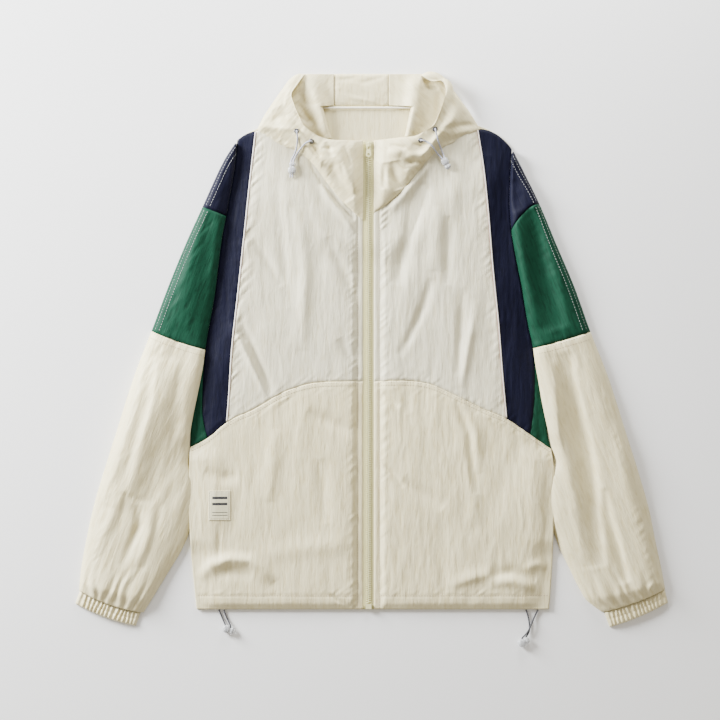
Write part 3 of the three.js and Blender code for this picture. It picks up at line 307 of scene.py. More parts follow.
# The strands' routes, from eyelet or hem into the lock
STRANDS = {
    "hood_R_outer": [
        (-99.6, 664.2, 22.2), (-99.6, 664, 25.2), (-99.4, 662.2, 26.2), (-99, 659.5, 25.4),
        (-98.6, 656.5, 24.2), (-98.5, 653.5, 22.9), (-98.6, 650.5, 21), (-98.9, 647.5, 18.4),
        (-99.4, 644.5, 15.9), (-100, 641.5, 13.6), (-100.8, 638.5, 11.5), (-101.9, 635.3, 10),
        (-103.5, 631.5, 9.6), (-105.4, 628, 9.8), (-106.8, 625, 10.6), (-107.4, 622.4, 11.4),
        (-107.6, 618, 11.7), (-107.6, 613.5, 11.7), (-107.8, 609, 11.7), (-108.2, 605, 11.5),
        (-108.6, 600.5, 11)],
    "hood_R_inner": [
        (-79, 650, 21.2), (-79.2, 650, 23.9), (-81.2, 649.7, 24.9), (-84, 648.9, 24.5),
        (-86.5, 647.6, 24.2), (-88.6, 646, 23.9), (-90.3, 644.4, 22.4), (-91.8, 642.9, 19.5),
        (-93.4, 641.2, 17.1), (-95, 639.3, 14.4), (-96.6, 637.3, 12), (-98.3, 635, 10.3),
        (-100.2, 631.8, 9.6), (-102.1, 628.2, 9.8), (-103.5, 625, 10.6), (-104.2, 622.6, 11.4),
        (-104.8, 618, 11.7), (-105, 613.5, 11.7), (-105.2, 609, 11.7), (-105.3, 604.5, 11.4),
        (-105.6, 600.5, 10.8)],
    "hood_L_outer": [
        (92.4, 666.6, 21.7), (92.5, 666.4, 24.4), (92.9, 664.6, 25.4), (93.5, 661.8, 25),
        (94.2, 658.8, 23.8), (95, 655.8, 23.9), (95.9, 652.8, 22.6), (96.9, 649.8, 19.6), (98, 646.8, 15.9),
        (99.2, 643.8, 13.5), (100.5, 640.8, 11.5), (101.9, 637.6, 10.2), (103.2, 634.6, 9.8),
        (104.1, 632, 10.5), (104.7, 630, 11.4), (104.9, 628.7, 12.2), (106.4, 624.6, 12.7),
        (108.6, 620.9, 12.7), (111, 617, 12.6), (113.4, 613, 12)],
    "hood_L_inner": [
        (72.3, 651.2, 20.2), (72.5, 651.2, 23), (74.5, 651, 24), (77.6, 650.4, 23.3), (80.3, 649.4, 22.3),
        (82.8, 648, 22.6), (85, 646.3, 22.8), (87, 644.5, 23.2), (88.8, 642.6, 21.4), (90.6, 640.5, 18),
        (92.4, 638.2, 14.3), (94.2, 635.8, 11.8), (96.2, 633.2, 10.2), (98.4, 630.6, 10.2),
        (100.4, 628.6, 11.2), (101.7, 627.2, 12.2), (103.8, 623.3, 12.7), (106.2, 619.4, 12.7),
        (108.6, 615.4, 12.6), (110.8, 611.4, 12)],
    "hem_R_outer": [
        (-208.2, -0.7, 1.8), (-207.6, -2.3, 1.7), (-207, -3.9, 1.6), (-206.4, -5.5, 1.5),
        (-205.8, -7.1, 1.4), (-205.1, -8.7, 1.3), (-204.4, -10.3, 1.3), (-203.7, -11.9, 1.3),
        (-203, -13.5, 1.4), (-202.3, -15.1, 1.6), (-201.6, -16.6, 1.9), (-201, -18, 2.3),
        (-200.4, -19.3, 2.7), (-199.8, -20.6, 3.1), (-199.2, -21.9, 3.5), (-198.6, -24.5, 3.5),
        (-198.2, -28.3, 3.5), (-197.6, -31.5, 3.5)],
    "hem_R_inner": [
        (-201.1, -0.7, 1.8), (-200.8, -2.3, 1.7), (-200.4, -3.9, 1.6), (-200, -5.5, 1.5),
        (-199.5, -7.1, 1.4), (-198.9, -8.7, 1.3), (-198.2, -10.3, 1.3), (-197.5, -11.9, 1.3),
        (-196.7, -13.5, 1.4), (-195.9, -15.1, 1.6), (-195.1, -16.6, 1.9), (-194.3, -18.1, 2.3),
        (-193.5, -19.6, 2.7), (-192.8, -21.1, 3.1), (-192.1, -22.5, 3.5), (-191.7, -25, 3.5),
        (-191.9, -28.6, 3.5), (-192.4, -32, 3.5)],
    "hem_L_inner": [
        (219.3, -0.7, 1.8), (220.3, -3.5, 1.6), (221.2, -6.5, 1.4), (222, -9.5, 1.3), (222.7, -12.5, 1.3),
        (223.3, -15.5, 1.3), (223.8, -18.5, 1.3), (224.1, -21.5, 1.3), (224.2, -24.5, 1.3),
        (224.1, -27.5, 1.3), (223.7, -30, 1.4), (222.9, -32.4, 1.7), (221.8, -34.7, 2.2),
        (220.6, -36.8, 2.8), (219.3, -38.6, 3.3), (218.2, -41.5, 3.5), (217.5, -46, 3.5)],
    "hem_L_outer": [
        (236, -0.7, 1.8), (234.4, -3.9, 1.6), (232.8, -7.1, 1.5), (231.3, -10.3, 1.6), (229.8, -13.4, 2),
        (228.4, -16.5, 2.7), (227.1, -19.5, 3.4), (225.9, -22.4, 3.9), (224.7, -25.2, 4.1),
        (223.4, -28, 4.2), (221.9, -30.7, 4.2), (220.2, -33.2, 4.1), (218.2, -35.6, 3.9),
        (216.2, -37.7, 3.7), (214.6, -39.2, 3.5), (213.4, -42, 3.5), (212.6, -46.5, 3.5)],
}


def strand(name, points, lock_object):
    """A cord smoothed through its route's points, which ends in its lock."""
    p = np.array(points)
    wide = np.vstack([2 * p[0] - p[1], p, 2 * p[-1] - p[-2]])
    fine = []
    for a, b, c, d in zip(wide, wide[1:], wide[2:], wide[3:]):
        for t in np.arange(0, 1, 0.25):
            bend = (2 * a - 5 * b + 4 * c - d) * t * t + (3 * b - a - 3 * c + d) * t ** 3
            fine.append(0.5 * (2 * b + (c - a) * t + bend))
    fine = row(fine + [p[-1]])
    hood = name.startswith("hood")
    data = bpy.data.curves.new("cord_" + name, "CURVE")
    data.dimensions = "3D"
    data.bevel_depth = CORD / 2 * MM
    data.bevel_resolution = 3
    data.use_fill_caps = True
    data.materials.append(BRAID if hood else ELASTIC)
    spline = data.splines.new("POLY")
    spline.points.add(len(fine) - 1)
    for point, at in zip(spline.points, fine):
        point.co = (*at, 1)
    obj = bpy.data.objects.new("strand_" + name, data)
    bpy.context.collection.objects.link(obj)
    attach(obj, "cord_" + name, "hood_braid" if hood else "hem_cord")


lock_objects = {name: lock(name, *place) for name, *place in LOCKS}
for name, points in STRANDS.items():
    strand(name, points, lock_objects[name.rsplit("_", 1)[0]])


# Shapes in plan and height
def line(pairs):
    """A smooth line through (position, value) pairs."""
    k, v = np.array(pairs, float).T
    if k[0] > k[-1]:
        k, v = k[::-1], v[::-1]
    gap = np.diff(k)
    slope = np.diff(v) / gap
    tangent = np.empty_like(v)
    tangent[0], tangent[-1] = slope[0], slope[-1]
    tangent[1:-1] = (slope[:-1] * gap[1:] + slope[1:] * gap[:-1]) / (gap[1:] + gap[:-1])

    def value(t):
        t = np.asarray(t, float)
        i = np.clip(np.searchsorted(k, t, "right") - 1, 0, len(k) - 2)
        h = gap[i]
        s = np.clip((t - k[i]) / h, 0, 1)
        s2, s3 = s * s, s * s * s
        return (
            v[i] * (2 * s3 - 3 * s2 + 1)
            + v[i + 1] * (3 * s2 - 2 * s3)
            + h * (tangent[i] * (s3 - 2 * s2 + s) + tangent[i + 1] * (s3 - s2))
        )

    return value


def columns(names, rows):
    """A table's columns, each a smooth line over the first one."""
    names = names.split()
    return {n: line([(r[0], r[i]) for r in rows]) for i, n in enumerate(names) if i}


def mix(a, b, t):
    return a + (b - a) * t


def step(lo, hi, t):
    s = np.clip((np.asarray(t, float) - lo) / (hi - lo), 0, 1)
    return s * s * (3 - 2 * s)


def bell(away, width):
    """From 1 at no distance down to 0 beyond twice the width."""
    return np.exp(-((away / width) ** 2))


# Outlines: (y, x) pairs, but (x, y) for pocket_seam and hood_edge
armhole = {
    "R": line([
        (652, -183), (618, -186), (569, -194), (514, -204), (430, -215), (361, -227), (305, -231),
        (263, -230), (238, -224)]),
    "L": line([
        (640, 199.5), (600, 197), (565, 196), (528, 198.5), (447, 213), (391, 223), (363, 229), (305, 231),
        (263, 228), (243, 225)]),
}
piping = {
    "R": line([
        (665, -157), (604, -164), (528, -172), (444, -181), (361, -190), (284, -195), (260, -197)]),
    "L": line([
        (667, 152), (622, 159), (548, 167), (475, 173), (395, 181), (319, 187), (265, 192)]),
}
side = {
    "R": line([
        (361, -227.3), (338, -235), (312, -243), (288, -247), (263, -248), (245, -247.5), (225, -248.4),
        (194, -249), (128, -249), (69, -246), (37, -243), (0, -239)]),
    "L": line([
        (363, 229.3), (341, 237), (319, 243), (295, 247), (270, 248.5), (243, 249.6), (223, 254),
        (205, 257), (104, 257), (72, 256), (38, 254), (0, 251)]),
}
pocket_seam = {
    "R": line([
        (-248.4, 225), (-224, 238), (-197, 260), (-158, 279), (-116, 303), (-81, 314), (-40, 317),
        (-7.5, 317)]),
    "L": line([
        (254, 223), (225, 243), (192, 265), (162, 278), (120, 298), (83, 314), (51, 318), (7.5, 317)]),
}
hood_edge = {
    "R": line([
        (-155, 668), (-142, 658), (-126, 648), (-94, 634), (-76, 618), (-56, 591), (-34, 565),
        (-7.5, 540)]),
    "L": line([
        (155, 668), (141, 661), (113, 647), (101, 641), (85, 628), (66, 605), (47, 583), (27, 565),
        (7.5, 551)]),
}
sleeve_inner = {
    "R": line([
        (361, -227.3), (338, -230), (312, -235), (288, -240), (263, -245), (244, -248), (225, -249),
        (205, -249), (180, -241), (150, -239), (128, -243), (108, -249), (79, -262), (56, -276), (33, -290),
        (10, -304), (-4, -313)]),
    "L": line([
        (363, 229.3), (341, 232), (319, 236), (295, 240), (270, 245), (250, 249.5), (223, 254.8),
        (205, 257.6), (180, 249), (150, 247), (125, 251), (106, 258), (85, 266), (56, 280), (28, 294),
        (12, 304), (-4, 325)]),
}
back_top = {
    "R": line([
        (652, -183), (660, -172), (670, -152), (680, -124), (690, -96), (BACK_NECK, -67)]),
    "L": line([
        (640, 199.5), (649, 193), (661, 178), (671, 158), (680, 127), (690, 96), (BACK_NECK, 62)]),
}
SLEEVE = {
    "R": columns("at outer_x outer_y inner_y bow loft", [
        [0, -185.5, 649, 646, 0, 0.6], [1, -204, 619, 605, 0, 2], [2, -231, 560, 547, 0, 2.6],
        [3, -255, 507, 483, 0, 3], [4, -279, 448, 422, 0, 3], [5, -302, 387, 361, 2, 2.4],
        [6, -326, 325, 301, 0, 3], [7, -348, 256, 244, 0, 3], [8, -366, 199, 183, 0, 3],
        [9, -382, 145, 130, 0, 3], [10, -393, 95, 88, 0, 3.2], [11, -400, 56, 40, 2, 3.2],
        [12, -403, 26, -4.5, 5, 2]]),
    "L": columns("at outer_x outer_y inner_y bow loft", [
        [0, 202, 637, 634, 0, 0.6], [1, 215, 611, 594, 0, 2], [2, 238, 564, 528, -8, 2.6],
        [3, 261, 509, 479, -3, 3], [4, 286, 450, 423, 0, 3], [5, 309, 386, 363, 1, 2.4],
        [6, 334, 322, 298, 0, 3], [7, 358, 247, 238, 0, 3], [8, 376, 190, 180, 0, 3],
        [9, 390, 141, 127, 0, 3], [10, 400, 92, 85, 0, 3.2], [11, 408, 55, 37, 2, 3.2],
        [12, 413, 27.5, -4, 3, 2]]),
}
BANDS = [("cap", "navy", 0, 2), ("middle", "green", 2, 5), ("lower", "cream", 5, 12)]
# cuff: outer x, outer y, inner x, inner y, bow, at its top and at its end
CUFF = {
    "R": ((-402, 25.4, -317, -4, 4.4), (-408, 7.5, -324, -23, 4)),
    "L": ((412.5, 27.2, 328, -3.3, 2.8), (417, 9, 336, -25, 3)),
}
CUFF_RIBS = 15
BRIM = {
    "R": columns("at x y height", [
        [0, -88, 744, 5], [0.12, -98, 730, 8], [0.22, -107, 715, 11], [0.3, -104, 703, 13],
        [0.42, -97, 686, 14], [0.54, -89, 671, 14], [0.62, -79, 663, 13], [0.7, -69, 657, 11],
        [0.78, -54, 653, 8], [0.88, -33, 652, 5], [1, -7.5, 652, 2.5]]),
    "L": columns("at x y height", [
        [0, 72, 743, 5], [0.08, 87, 734, 6], [0.16, 102, 734, 7], [0.23, 107, 723, 11],
        [0.32, 105, 708, 13], [0.43, 97, 686, 14], [0.54, 89, 671, 14], [0.62, 78, 664, 12],
        [0.7, 66, 658, 10], [0.8, 46, 656, 7], [0.9, 28, 654, 4], [1, 7.5, 652, 2.5]]),
}
HOOD_SIDE = {
    "R": columns("at x y", [
        [0, -88, 744], [0.1, -97, 745], [0.22, -108, 739], [0.4, -119, 725], [0.6, -133, 705],
        [0.8, -145, 687], [1, -155, 668]]),
    "L": columns("at x y", [
        [0, 72, 743], [0.12, 84, 748], [0.3, 103, 742], [0.45, 115, 726], [0.6, 128, 709], [0.8, 142, 690],
        [1, 155, 668]]),
}
# hood rear: y, inner x, outer x, x of the ridge, its height
REAR = {
    "R": [
        [744.5, -48, -90, -84, 0.5], [739, -48, -98, -82, 4], [730, -48, -107, -79, 8],
        [716, -48, -117, -73, 10], [701.2, -48, -117, -66, 11], [699, -63, -117, -66, 11],
        [684, -59.5, -112, -62, 11], [668, -55.5, -102, -58, 9], [654, -50.5, -88, -53, 6]],
    "L": [
        [744.5, 28.5, 78, 67, 0.5], [739, 28.5, 96, 66.5, 4], [730, 28.5, 108, 65, 8],
        [716, 28.5, 117, 64, 10], [701.2, 28.5, 114, 62, 11], [699, 59, 113, 62, 11],
        [684, 55.5, 108, 59, 11], [668, 52.5, 100, 56, 9], [657, 50, 88, 53, 6]],
}
RIDGE_WIDTH = 12
CROWN = {"x": -8, "top": 743, "bottom": 548, "half": 92, "corner": 70, "thick": 2 * CLOTH + GAP,
         "drape": (34, 72)}

# Folds of the solids, from (x1, y1) to (x2, y2): x1, y1, x2, y2, width, height
BODY_FOLDS = [
    (-190, 395, -165, 354, 10, 3), (-165, 354, -140, 298, 10, 3.4), (-169, 514, -148, 430, 11, 2.2),
    (-60, 590, -16, 539, 8, 2.6), (-75, 560, -30, 470, 10, 2), (-53, 480, -47, 360, 12, 1.8),
    (-120, 600, -112, 470, 13, 2), (-234, 45, -193, 66, 9, 3.2), (-193, 66, -140, 44, 9, 3.2),
    (-90, 280, -96, 120, 14, 2), (-190, 190, -150, 110, 13, 1.6), (-40, 230, -48, 80, 12, 1.6),
    (83, 625, 37, 555, 9, 2.8), (120, 620, 118, 480, 12, 2), (58, 520, 51, 361, 12, 2.2),
    (160, 500, 152, 380, 11, 2.4), (110, 420, 140, 330, 11, 2), (120, 295, 141, 236, 11, 3),
    (141, 236, 148, 120, 11, 2.6), (155, 45, 190, 50, 9, 3), (190, 50, 229, 37, 9, 3),
    (70, 260, 60, 110, 13, 1.8), (205, 200, 190, 110, 12, 2),
]
SLEEVE_FOLDS = [
    (-262, 350, -312, 200, 13, 3), (-312, 200, -345, 60, 12, 3), (-304, 372, -325, 290, 11, 2.4),
    (-280, 330, -290, 220, 11, 2.4), (-325, 166, -332, 60, 9, 2.4), (-240, 520, -262, 420, 10, 2.4),
    (-285, 180, -310, 70, 10, 2.6), (-362, 150, -380, 60, 9, 2.2), (259, 350, 287, 222, 12, 3),
    (287, 222, 312, 60, 12, 3), (300, 360, 330, 250, 12, 2.6), (322, 166, 350, 50, 10, 2.8),
    (245, 520, 262, 410, 10, 2.4), (350, 230, 372, 120, 11, 2.4), (372, 120, 388, 50, 9, 2.2),
    (275, 150, 300, 70, 9, 2.4),
]

# Creases: width (or the widths on both sides), height (below zero for a trough), then x and y of each
# point that the crease runs through.
BODY_CREASES = [
    (5, -2.4, -181, 405, -166, 375, -152, 341, -133, 298), (3, -1.2, -183, 388, -169, 372),
    (4, 1.6, -189, 398, -175, 366, -160, 335, -142, 296), (6, -1.5, -169, 526, -140, 484, -120, 450),
    (4, -2.4, -83, 630, -63, 597, -40, 562, -16, 541), (5, 2.4, -66, 592, -56, 573, -16, 523),
    (4, -1.8, -44, 587, -16, 551), (7, -1.5, -56, 518, -16, 427), (6, -1.2, -42, 376, -18, 340),
    (9, 1.6, -96, 560, -88, 470, -92, 360), (8, -1.2, -128, 600, -118, 500, -112, 420),
    (5, -2.6, 30, 612, 29, 588), (7, 2.6, 43, 641, 39, 624), (4, -2, 45, 583, 19, 566),
    (6, 1.8, 88, 622, 58, 586, 26, 552), (10, -2.6, 77, 594, 58, 523, 38, 451),
    (6, -1.6, 110, 547, 110, 451), (6, -1.7, 88, 461, 76, 420, 58, 380, 42, 352),
    (6, -1.6, 131, 447, 124, 325), (5, 1.5, 150, 430, 141, 375, 129, 308), (9, 1.5, 96, 560, 92, 470),
    (9, -1.4, -85, 276, -17, 243), (4, -0.7, -208, 120, -208, 62), (13, 0.9, -158, 73, -95, 84, -17, 94),
    (7.5, 2.5, -237, 42, -219, 62, -192, 71, -165, 68, -149, 57, -131, 38),
    (9, -1.4, -214, 48, -190, 54, -160, 48), (2.5, -1.1, -58, 23, -24, 1),
    (9, -1.5, -227, 194, -204, 183, -181, 184), (10, 1.2, -130, 250, -138, 150),
    (9, -1.1, -66, 210, -60, 120), (6, -1.9, 122, 292, 140, 245, 145, 194, 151, 160),
    (8, 1.0, 131, 292, 149, 243, 156, 190), (3.5, -1.3, 16, 306, 42, 281), (9, -1.5, 47, 180, 104, 141),
    (3.5, -1.4, 15, 206, 33, 190, 49, 170), ((5, 9), -1.8, 165, 48, 200, 51, 233, 39),
    (7, 1.5, 168, 37, 200, 39, 231, 28), ((6, 10), 1.5, 113, 33, 148, 45, 172, 51),
    (6, 1.2, 216, 54, 227, 61, 237, 63, 248, 57),
]
SLEEVE_CREASES = [
    ((12, 23), 10.0, -324, 352, -324, 297, -332, 262, -348, 214, -358, 176, -368, 146),
    ((9, 26), 9.0, -290, 350, -296, 290, -312, 235, -325, 190, -336, 160),
    (7, 3.2, -340, 170, -360, 118, -380, 76), (6, -4, -321, 145, -319, 118, -331, 89, -343, 58),
    ((8, 11), 3.0, -305, 150, -303, 110, -318, 60), (6, -2.6, -288, 150, -298, 100, -312, 55),
    ((27, 8), -12.5, 276, 358, 283, 309, 291, 268, 305, 213, 313, 165, 319, 110, 326, 60),
    ((10, 16), 5.0, 247, 350, 255, 309, 263, 262, 275, 207, 286, 160, 296, 105, 304, 60),
    ((12, 5), -7.0, 326, 168, 334, 129, 345, 93, 360, 38), ((8, 5), 2.4, 318, 168, 322, 117, 333, 60),
    ((14, 9), 3.0, 345, 262, 362, 180, 381, 117, 398, 60), (7, 2.4, 258, 350, 262, 260, 268, 190),
    ((16, 14), 3.2, -235, 532, -243, 472, -252, 418, -256, 388), (7, 2.6, -205, 540, -213, 480, -220, 420),
    ((26, 10), -11.0, 222, 556, 236, 510, 246, 461, 258, 427, 270, 392),
    ((9, 15), 7.0, 203, 556, 208, 510, 216, 461, 224, 427, 234, 392), (6, 1.6, 262, 470, 277, 400),
    ((9, 12), -4.6, 205, 622, 205, 583, 208, 551), (7, -2.6, -194, 610, -202, 545),
    ((8, 16), 2.4, 224, 600, 240, 560), (8, 2.0, -222, 590, -240, 545),
]
HOOD_CREASES = [
    (4, 2.4, -153, 673, -128, 668, -102, 666), (5, -2.6, -151, 667, -121, 655, -91, 639),
    (8, -1.8, -133, 685, -112, 686), (4, -1.2, -144, 676, -109, 688), (4, 1.4, -138, 694, -114, 704),
    (9, 4.0, -74, 642, -43, 635, -29, 603, -17, 579), (4, -3.6, -59, 649, -50, 628),
    (3.5, -3.0, -80, 649, -66, 628), ((14, 7), -7.0, -66, 616, -50, 612, -41, 598, -23, 570),
    (3, -2.4, -34, 644, -25, 612), (3, -2.0, -22, 640, -16, 615), (3, 1.2, -120, 650, -99, 640),
    (3, -2.2, -66, 640, -44, 641), (2.5, -1.6, -40, 622, -32, 596),
    (3.5, -1.8, 96, 665, 128, 673, 153, 674), (4, -2.0, 105, 649, 144, 662), (5, 1.6, 110, 658, 146, 668),
    ((8, 9), -7.5, 33, 622, 36, 602, 43, 584), (4, -4.4, 21, 620, 21, 584), (6, 3.0, 27, 637, 45, 633),
    (5, 3.4, 52, 631, 70, 632, 87, 635), (4, -4.6, 50, 621, 79, 623), (5, 2.6, 54, 612, 57, 590),
    (3, -2.4, 30, 645, 52, 640), (3, -2.0, 60, 646, 88, 642), (5, 1.5, 118, 718, 138, 690),
    (4, -2.0, -100, 706, -86, 683, -70, 672), (3, -1.4, -103, 690, -82, 675), (5, 1.4, -96, 729, -82, 704),
    (4, -2.6, 73, 733, 105, 735), (3, -1.4, 75, 726, 98, 724), (6, -2.4, 98, 721, 96, 672),
    (9, 1.6, 78, 720, 73, 672), (3, -0.9, -13, 731, 22, 741), (3, -0.9, -45, 735, -12, 741),
    (3, 0.9, -30, 712, 10, 706), (2.2, -1.6, 30, 744, 30.5, 703), (1.6, -1.0, -45.5, 742, -46, 703),
]


def crease_height(creases, x, y):
    x, y = np.broadcast_arrays(np.asarray(x, float), np.asarray(y, float))
    z = np.zeros(x.shape)
    for width, height, *route in creases:
        points = list(zip(route[::2], route[1::2]))
        nearest, place, aside = np.full(x.shape, 1e9), np.zeros(x.shape), np.zeros(x.shape)
        run = 0.0
        for (x1, y1), (x2, y2) in zip(points, points[1:]):
            length = math.hypot(x2 - x1, y2 - y1)
            t = np.clip(((x - x1) * (x2 - x1) + (y - y1) * (y2 - y1)) / length ** 2, 0, 1)
            away = np.hypot(x - x1 - t * (x2 - x1), y - y1 - t * (y2 - y1))
            turn = (x - x1) * (y2 - y1) - (y - y1) * (x2 - x1)
            place = np.where(away < nearest, run + t * length, place)
            aside = np.where(away < nearest, turn, aside)
            nearest = np.minimum(away, nearest)
            run += length
        fade = np.clip(np.sin(np.pi * np.clip(place / run, 0, 1)), 0, 1) ** 0.6
        before, after = width if isinstance(width, tuple) else (width, width)
        spread = np.where(aside > 0, before, after)
        z = z + height * fade * bell(nearest, spread)
    return z


def puckers(x, y, away, seed, reach=10.0, pitch=5.2):
    """Short slanting puckers beside a line of stitches, away from it in millimetres."""
    wave = noise((y - 0.85 * x) / pitch, (y + x) / 60, seed)
    sharp = np.sign(wave) * np.abs(wave) ** 0.8
    strength = 0.55 + 0.45 * noise(x / 40, y / 40, seed + 7)
    return sharp * strength * step(0.5, 4, away) * bell(np.maximum(away, 0), reach)


def fold_height(folds, x, y):
    z = np.zeros(np.broadcast(x, y).shape)
    for x1, y1, x2, y2, width, height in folds:
        dx, dy = x2 - x1, y2 - y1
        length = math.hypot(dx, dy)
        along = ((x - x1) * dx + (y - y1) * dy) / length
        across = ((x - x1) * dy - (y - y1) * dx) / length
        ends = step(-width, width, along) * step(-width, width, length - along)
        z = z + height * ends * bell(across, width)
    return z


def by_side(x, lines, t):
    return np.where(x < 0, lines["R"](t), lines["L"](t))


def lattice(ix, iy, seed):
    """A repeatable value from 0 to 1 at each whole-number point."""
    h = (ix.astype(np.int64) * 374761393 + iy.astype(np.int64) * 668265263 + seed * 144665) & 0xFFFFFFFF
    h = ((h ^ (h >> 13)) * 1274126177) & 0xFFFFFFFF
    return ((h ^ (h >> 16)) & 0xFFFFFF) / float(0xFFFFFF)


def noise(x, y, seed=0):
    """Smooth value noise from -1 to 1 with features of size 1."""
    x, y = np.broadcast_arrays(np.asarray(x, float), np.asarray(y, float))
    ix, iy = np.floor(x), np.floor(y)
    fx, fy = x - ix, y - iy
    fx, fy = fx * fx * fx * (fx * (6 * fx - 15) + 10), fy * fy * fy * (fy * (6 * fy - 15) + 10)
    a = mix(lattice(ix, iy, seed), lattice(ix + 1, iy, seed), fx)
    b = mix(lattice(ix, iy + 1, seed), lattice(ix + 1, iy + 1, seed), fx)
    return 2 * mix(a, b, fy) - 1


def crinkle(x, y, turn, seed, amount=1.0):
    """Relief of the crumpled cloth: broad swells, and finer creases along the grain."""
    c, s = math.cos(turn), math.sin(turn)
    a, b = c * x + s * y, -s * x + c * y
    a = a + 3.0 * noise(x / 30, y / 40, seed + 9)
    broad = 0.75 * noise(a / 34, b / 95, seed)
    middle = 0.5 * noise(a / 13, b / 48, seed + 1)
    crease = 1 - np.abs(noise(a / 9, b / 60, seed + 2)) * 2
    patchy = step(-0.3, 0.6, noise(x / 60, y / 90, seed + 5))
    fine = 0.26 * noise(a / 4.8, b / 24, seed + 3)
    return amount * (broad + middle + 0.4 * np.maximum(crease, 0) ** 2 * (0.35 + 0.65 * patchy) + fine)


def outside_crown(x, y):
    half = (CROWN["top"] - CROWN["bottom"]) / 2
    dx = np.abs(x - CROWN["x"]) - CROWN["half"] + CROWN["corner"]
    dy = (CROWN["top"] + CROWN["bottom"]) / 2 - y - half + CROWN["corner"]
    return np.hypot(np.maximum(dx, 0), np.maximum(dy, 0)) - CROWN["corner"]


def back_under(x, y):
    on_crown = (CROWN["thick"] + GAP) * (1 - step(*CROWN["drape"], outside_crown(x, y)))
    inward = np.abs(by_side(x, sleeve_inner, y)) - np.abs(x)
    tucked = step(72, 100, y) * (1 - step(206, 230, y))
    return on_crown + OVERLAP_LIFT * tucked * (1 - step(8, 62, inward))


def front_under(x, y):
    top_of_side = np.where(x < 0, SIDES["R"]["underarm"], SIDES["L"]["underarm"])
    edge = np.where(y > top_of_side, by_side(x, armhole, y), by_side(x, side, y))
    body = step(-4, 30, np.abs(edge) - np.abs(x))
    hem = step(0, 22, y)
    zip_side = 0.35 + 0.65 * step(0, 26, np.abs(x) - FRONT_EDGE)
    puff = 0.3 + LOFT + np.maximum(0, fold_height(BODY_FOLDS, x, y))
    return back_under(x, y) + CLOTH + GAP + 0.1 + puff * body * (0.3 + 0.7 * hem) * zip_side


def sleeve_under(x, y):
    outward = np.abs(x) - np.abs(by_side(x, side, y))
    over = step(222, 246, y) * (1 - step(352, 376, y))
    return OVERLAP_LIFT * over * (1 - step(4, 26, outward))


def patch(top, bottom, left, right):
    """A patch in plan between four lines that meet at the corners."""
    def point(u, v):
        corners = [top(0.0), top(1.0), bottom(0.0), bottom(1.0)]
        t, b, l, r = top(u), bottom(u), left(v), right(v)
        return [
            mix(t[i], b[i], v) + mix(l[i], r[i], u)
            - mix(mix(corners[0][i], corners[1][i], u), mix(corners[2][i], corners[3][i], u), v)
            for i in (0, 1)
        ]

    return point


def along_y(f, lo, hi):
    return lambda t: (f(mix(lo, hi, t)), mix(lo, hi, t))


def along_x(f, lo, hi):
    return lambda t: (mix(lo, hi, t), f(mix(lo, hi, t)))


# Cloth
def shell_faces(rows_, cols, flip):
    """Faces of a closed sheet: a top grid, a bottom grid behind it, and the rim."""
    grid = np.arange(rows_ * cols).reshape(rows_, cols)
    top = np.stack([grid[:-1, :-1], grid[:-1, 1:], grid[1:, 1:], grid[1:, :-1]], -1).reshape(-1, 4)
    rim = np.concatenate([grid[0, :-1], grid[:-1, -1], grid[-1, :0:-1], grid[:0:-1, 0]])
    after = np.roll(rim, -1)
    sides = np.stack([after, rim, rim + grid.size, after + grid.size], 1)
    faces = np.concatenate([top, top[:, ::-1] + grid.size, sides])
    return faces[:, ::-1] if flip else faces


pieces = {}


def length_along(points, axis):
    """Distance in plan along a grid's rows or columns, from their start."""
    d = np.linalg.norm(np.diff(points[..., :2], axis=axis), axis=-1)
    pad = [(0, 0), (0, 0)]
    pad[axis] = (1, 0)
    return np.pad(np.cumsum(d, axis=axis), pad)


def cloth(name, node, slot, mat, place, top, cell, edges, bottom=None):
    """A sheet of cloth over a patch. top gives its upper surface, edges what it does along u0, u1, v0, v1:
    ("seam", depth, pucker) sinks into a seam, ("round", width, low) rolls down to a height."""
    probe = np.stack(place(*np.meshgrid(np.linspace(0, 1, 9), np.linspace(0, 1, 9))), -1)
    cols = max(3, int(length_along(probe, 1)[:, -1].max() / cell[0]) + 1)
    rows_ = max(3, int(length_along(probe, 0)[-1, :].max() / cell[1]) + 1)
    u, v = np.meshgrid(np.linspace(0, 1, cols), np.linspace(0, 1, rows_))
    x, y = (np.broadcast_to(k, u.shape) for k in place(u, v))
    z = top(x, y, u, v)
    p = np.stack([x, y, z], -1)
    across, down = length_along(p, 1), length_along(p, 0)
    far = {"u0": across, "u1": across[:, -1:] - across, "v0": down, "v1": down[-1:, :] - down}
    seed = sum(ord(c) for c in name)
    for key, (kind, *shape) in edges.items():
        d = far[key]
        if kind == "seam":
            depth, pucker = shape
            s = down if key[0] == "u" else across
            wave = noise(s / 7.5, d / 30, seed) + 0.5 * noise(s / 3.6, d / 16, seed + 1)
            z = z + pucker * wave * np.exp(-d / 9) - depth * bell(d, 1.9)
        else:
            width, low = shape
            level = low(x, y) if callable(low) else low
            arc = np.sqrt(np.clip(1 - (1 - np.minimum(d / width, 1)) ** 2, 0, 1))
            z = level + np.maximum(z - level, 0) * arc
    z = np.maximum(z, ABOVE_FLOOR)
    p = np.stack([x, y, z], -1)
    under = p.copy()
    under[..., 2] = z - SKIN if bottom is None else np.minimum(bottom(x, y), z - 0.15)
    under[..., 2] = np.maximum(under[..., 2], 0)
    first_row, first_column = p[0, -1] - p[0, 0], p[-1, 0] - p[0, 0]
    flip = first_column[0] * first_row[1] > first_column[1] * first_row[0]
    points = np.concatenate([p.reshape(-1, 3), under.reshape(-1, 3)])
    pieces[name] = p
    return attach(mesh_object(name, row(points), shell_faces(rows_, cols, flip), mat), node, slot)


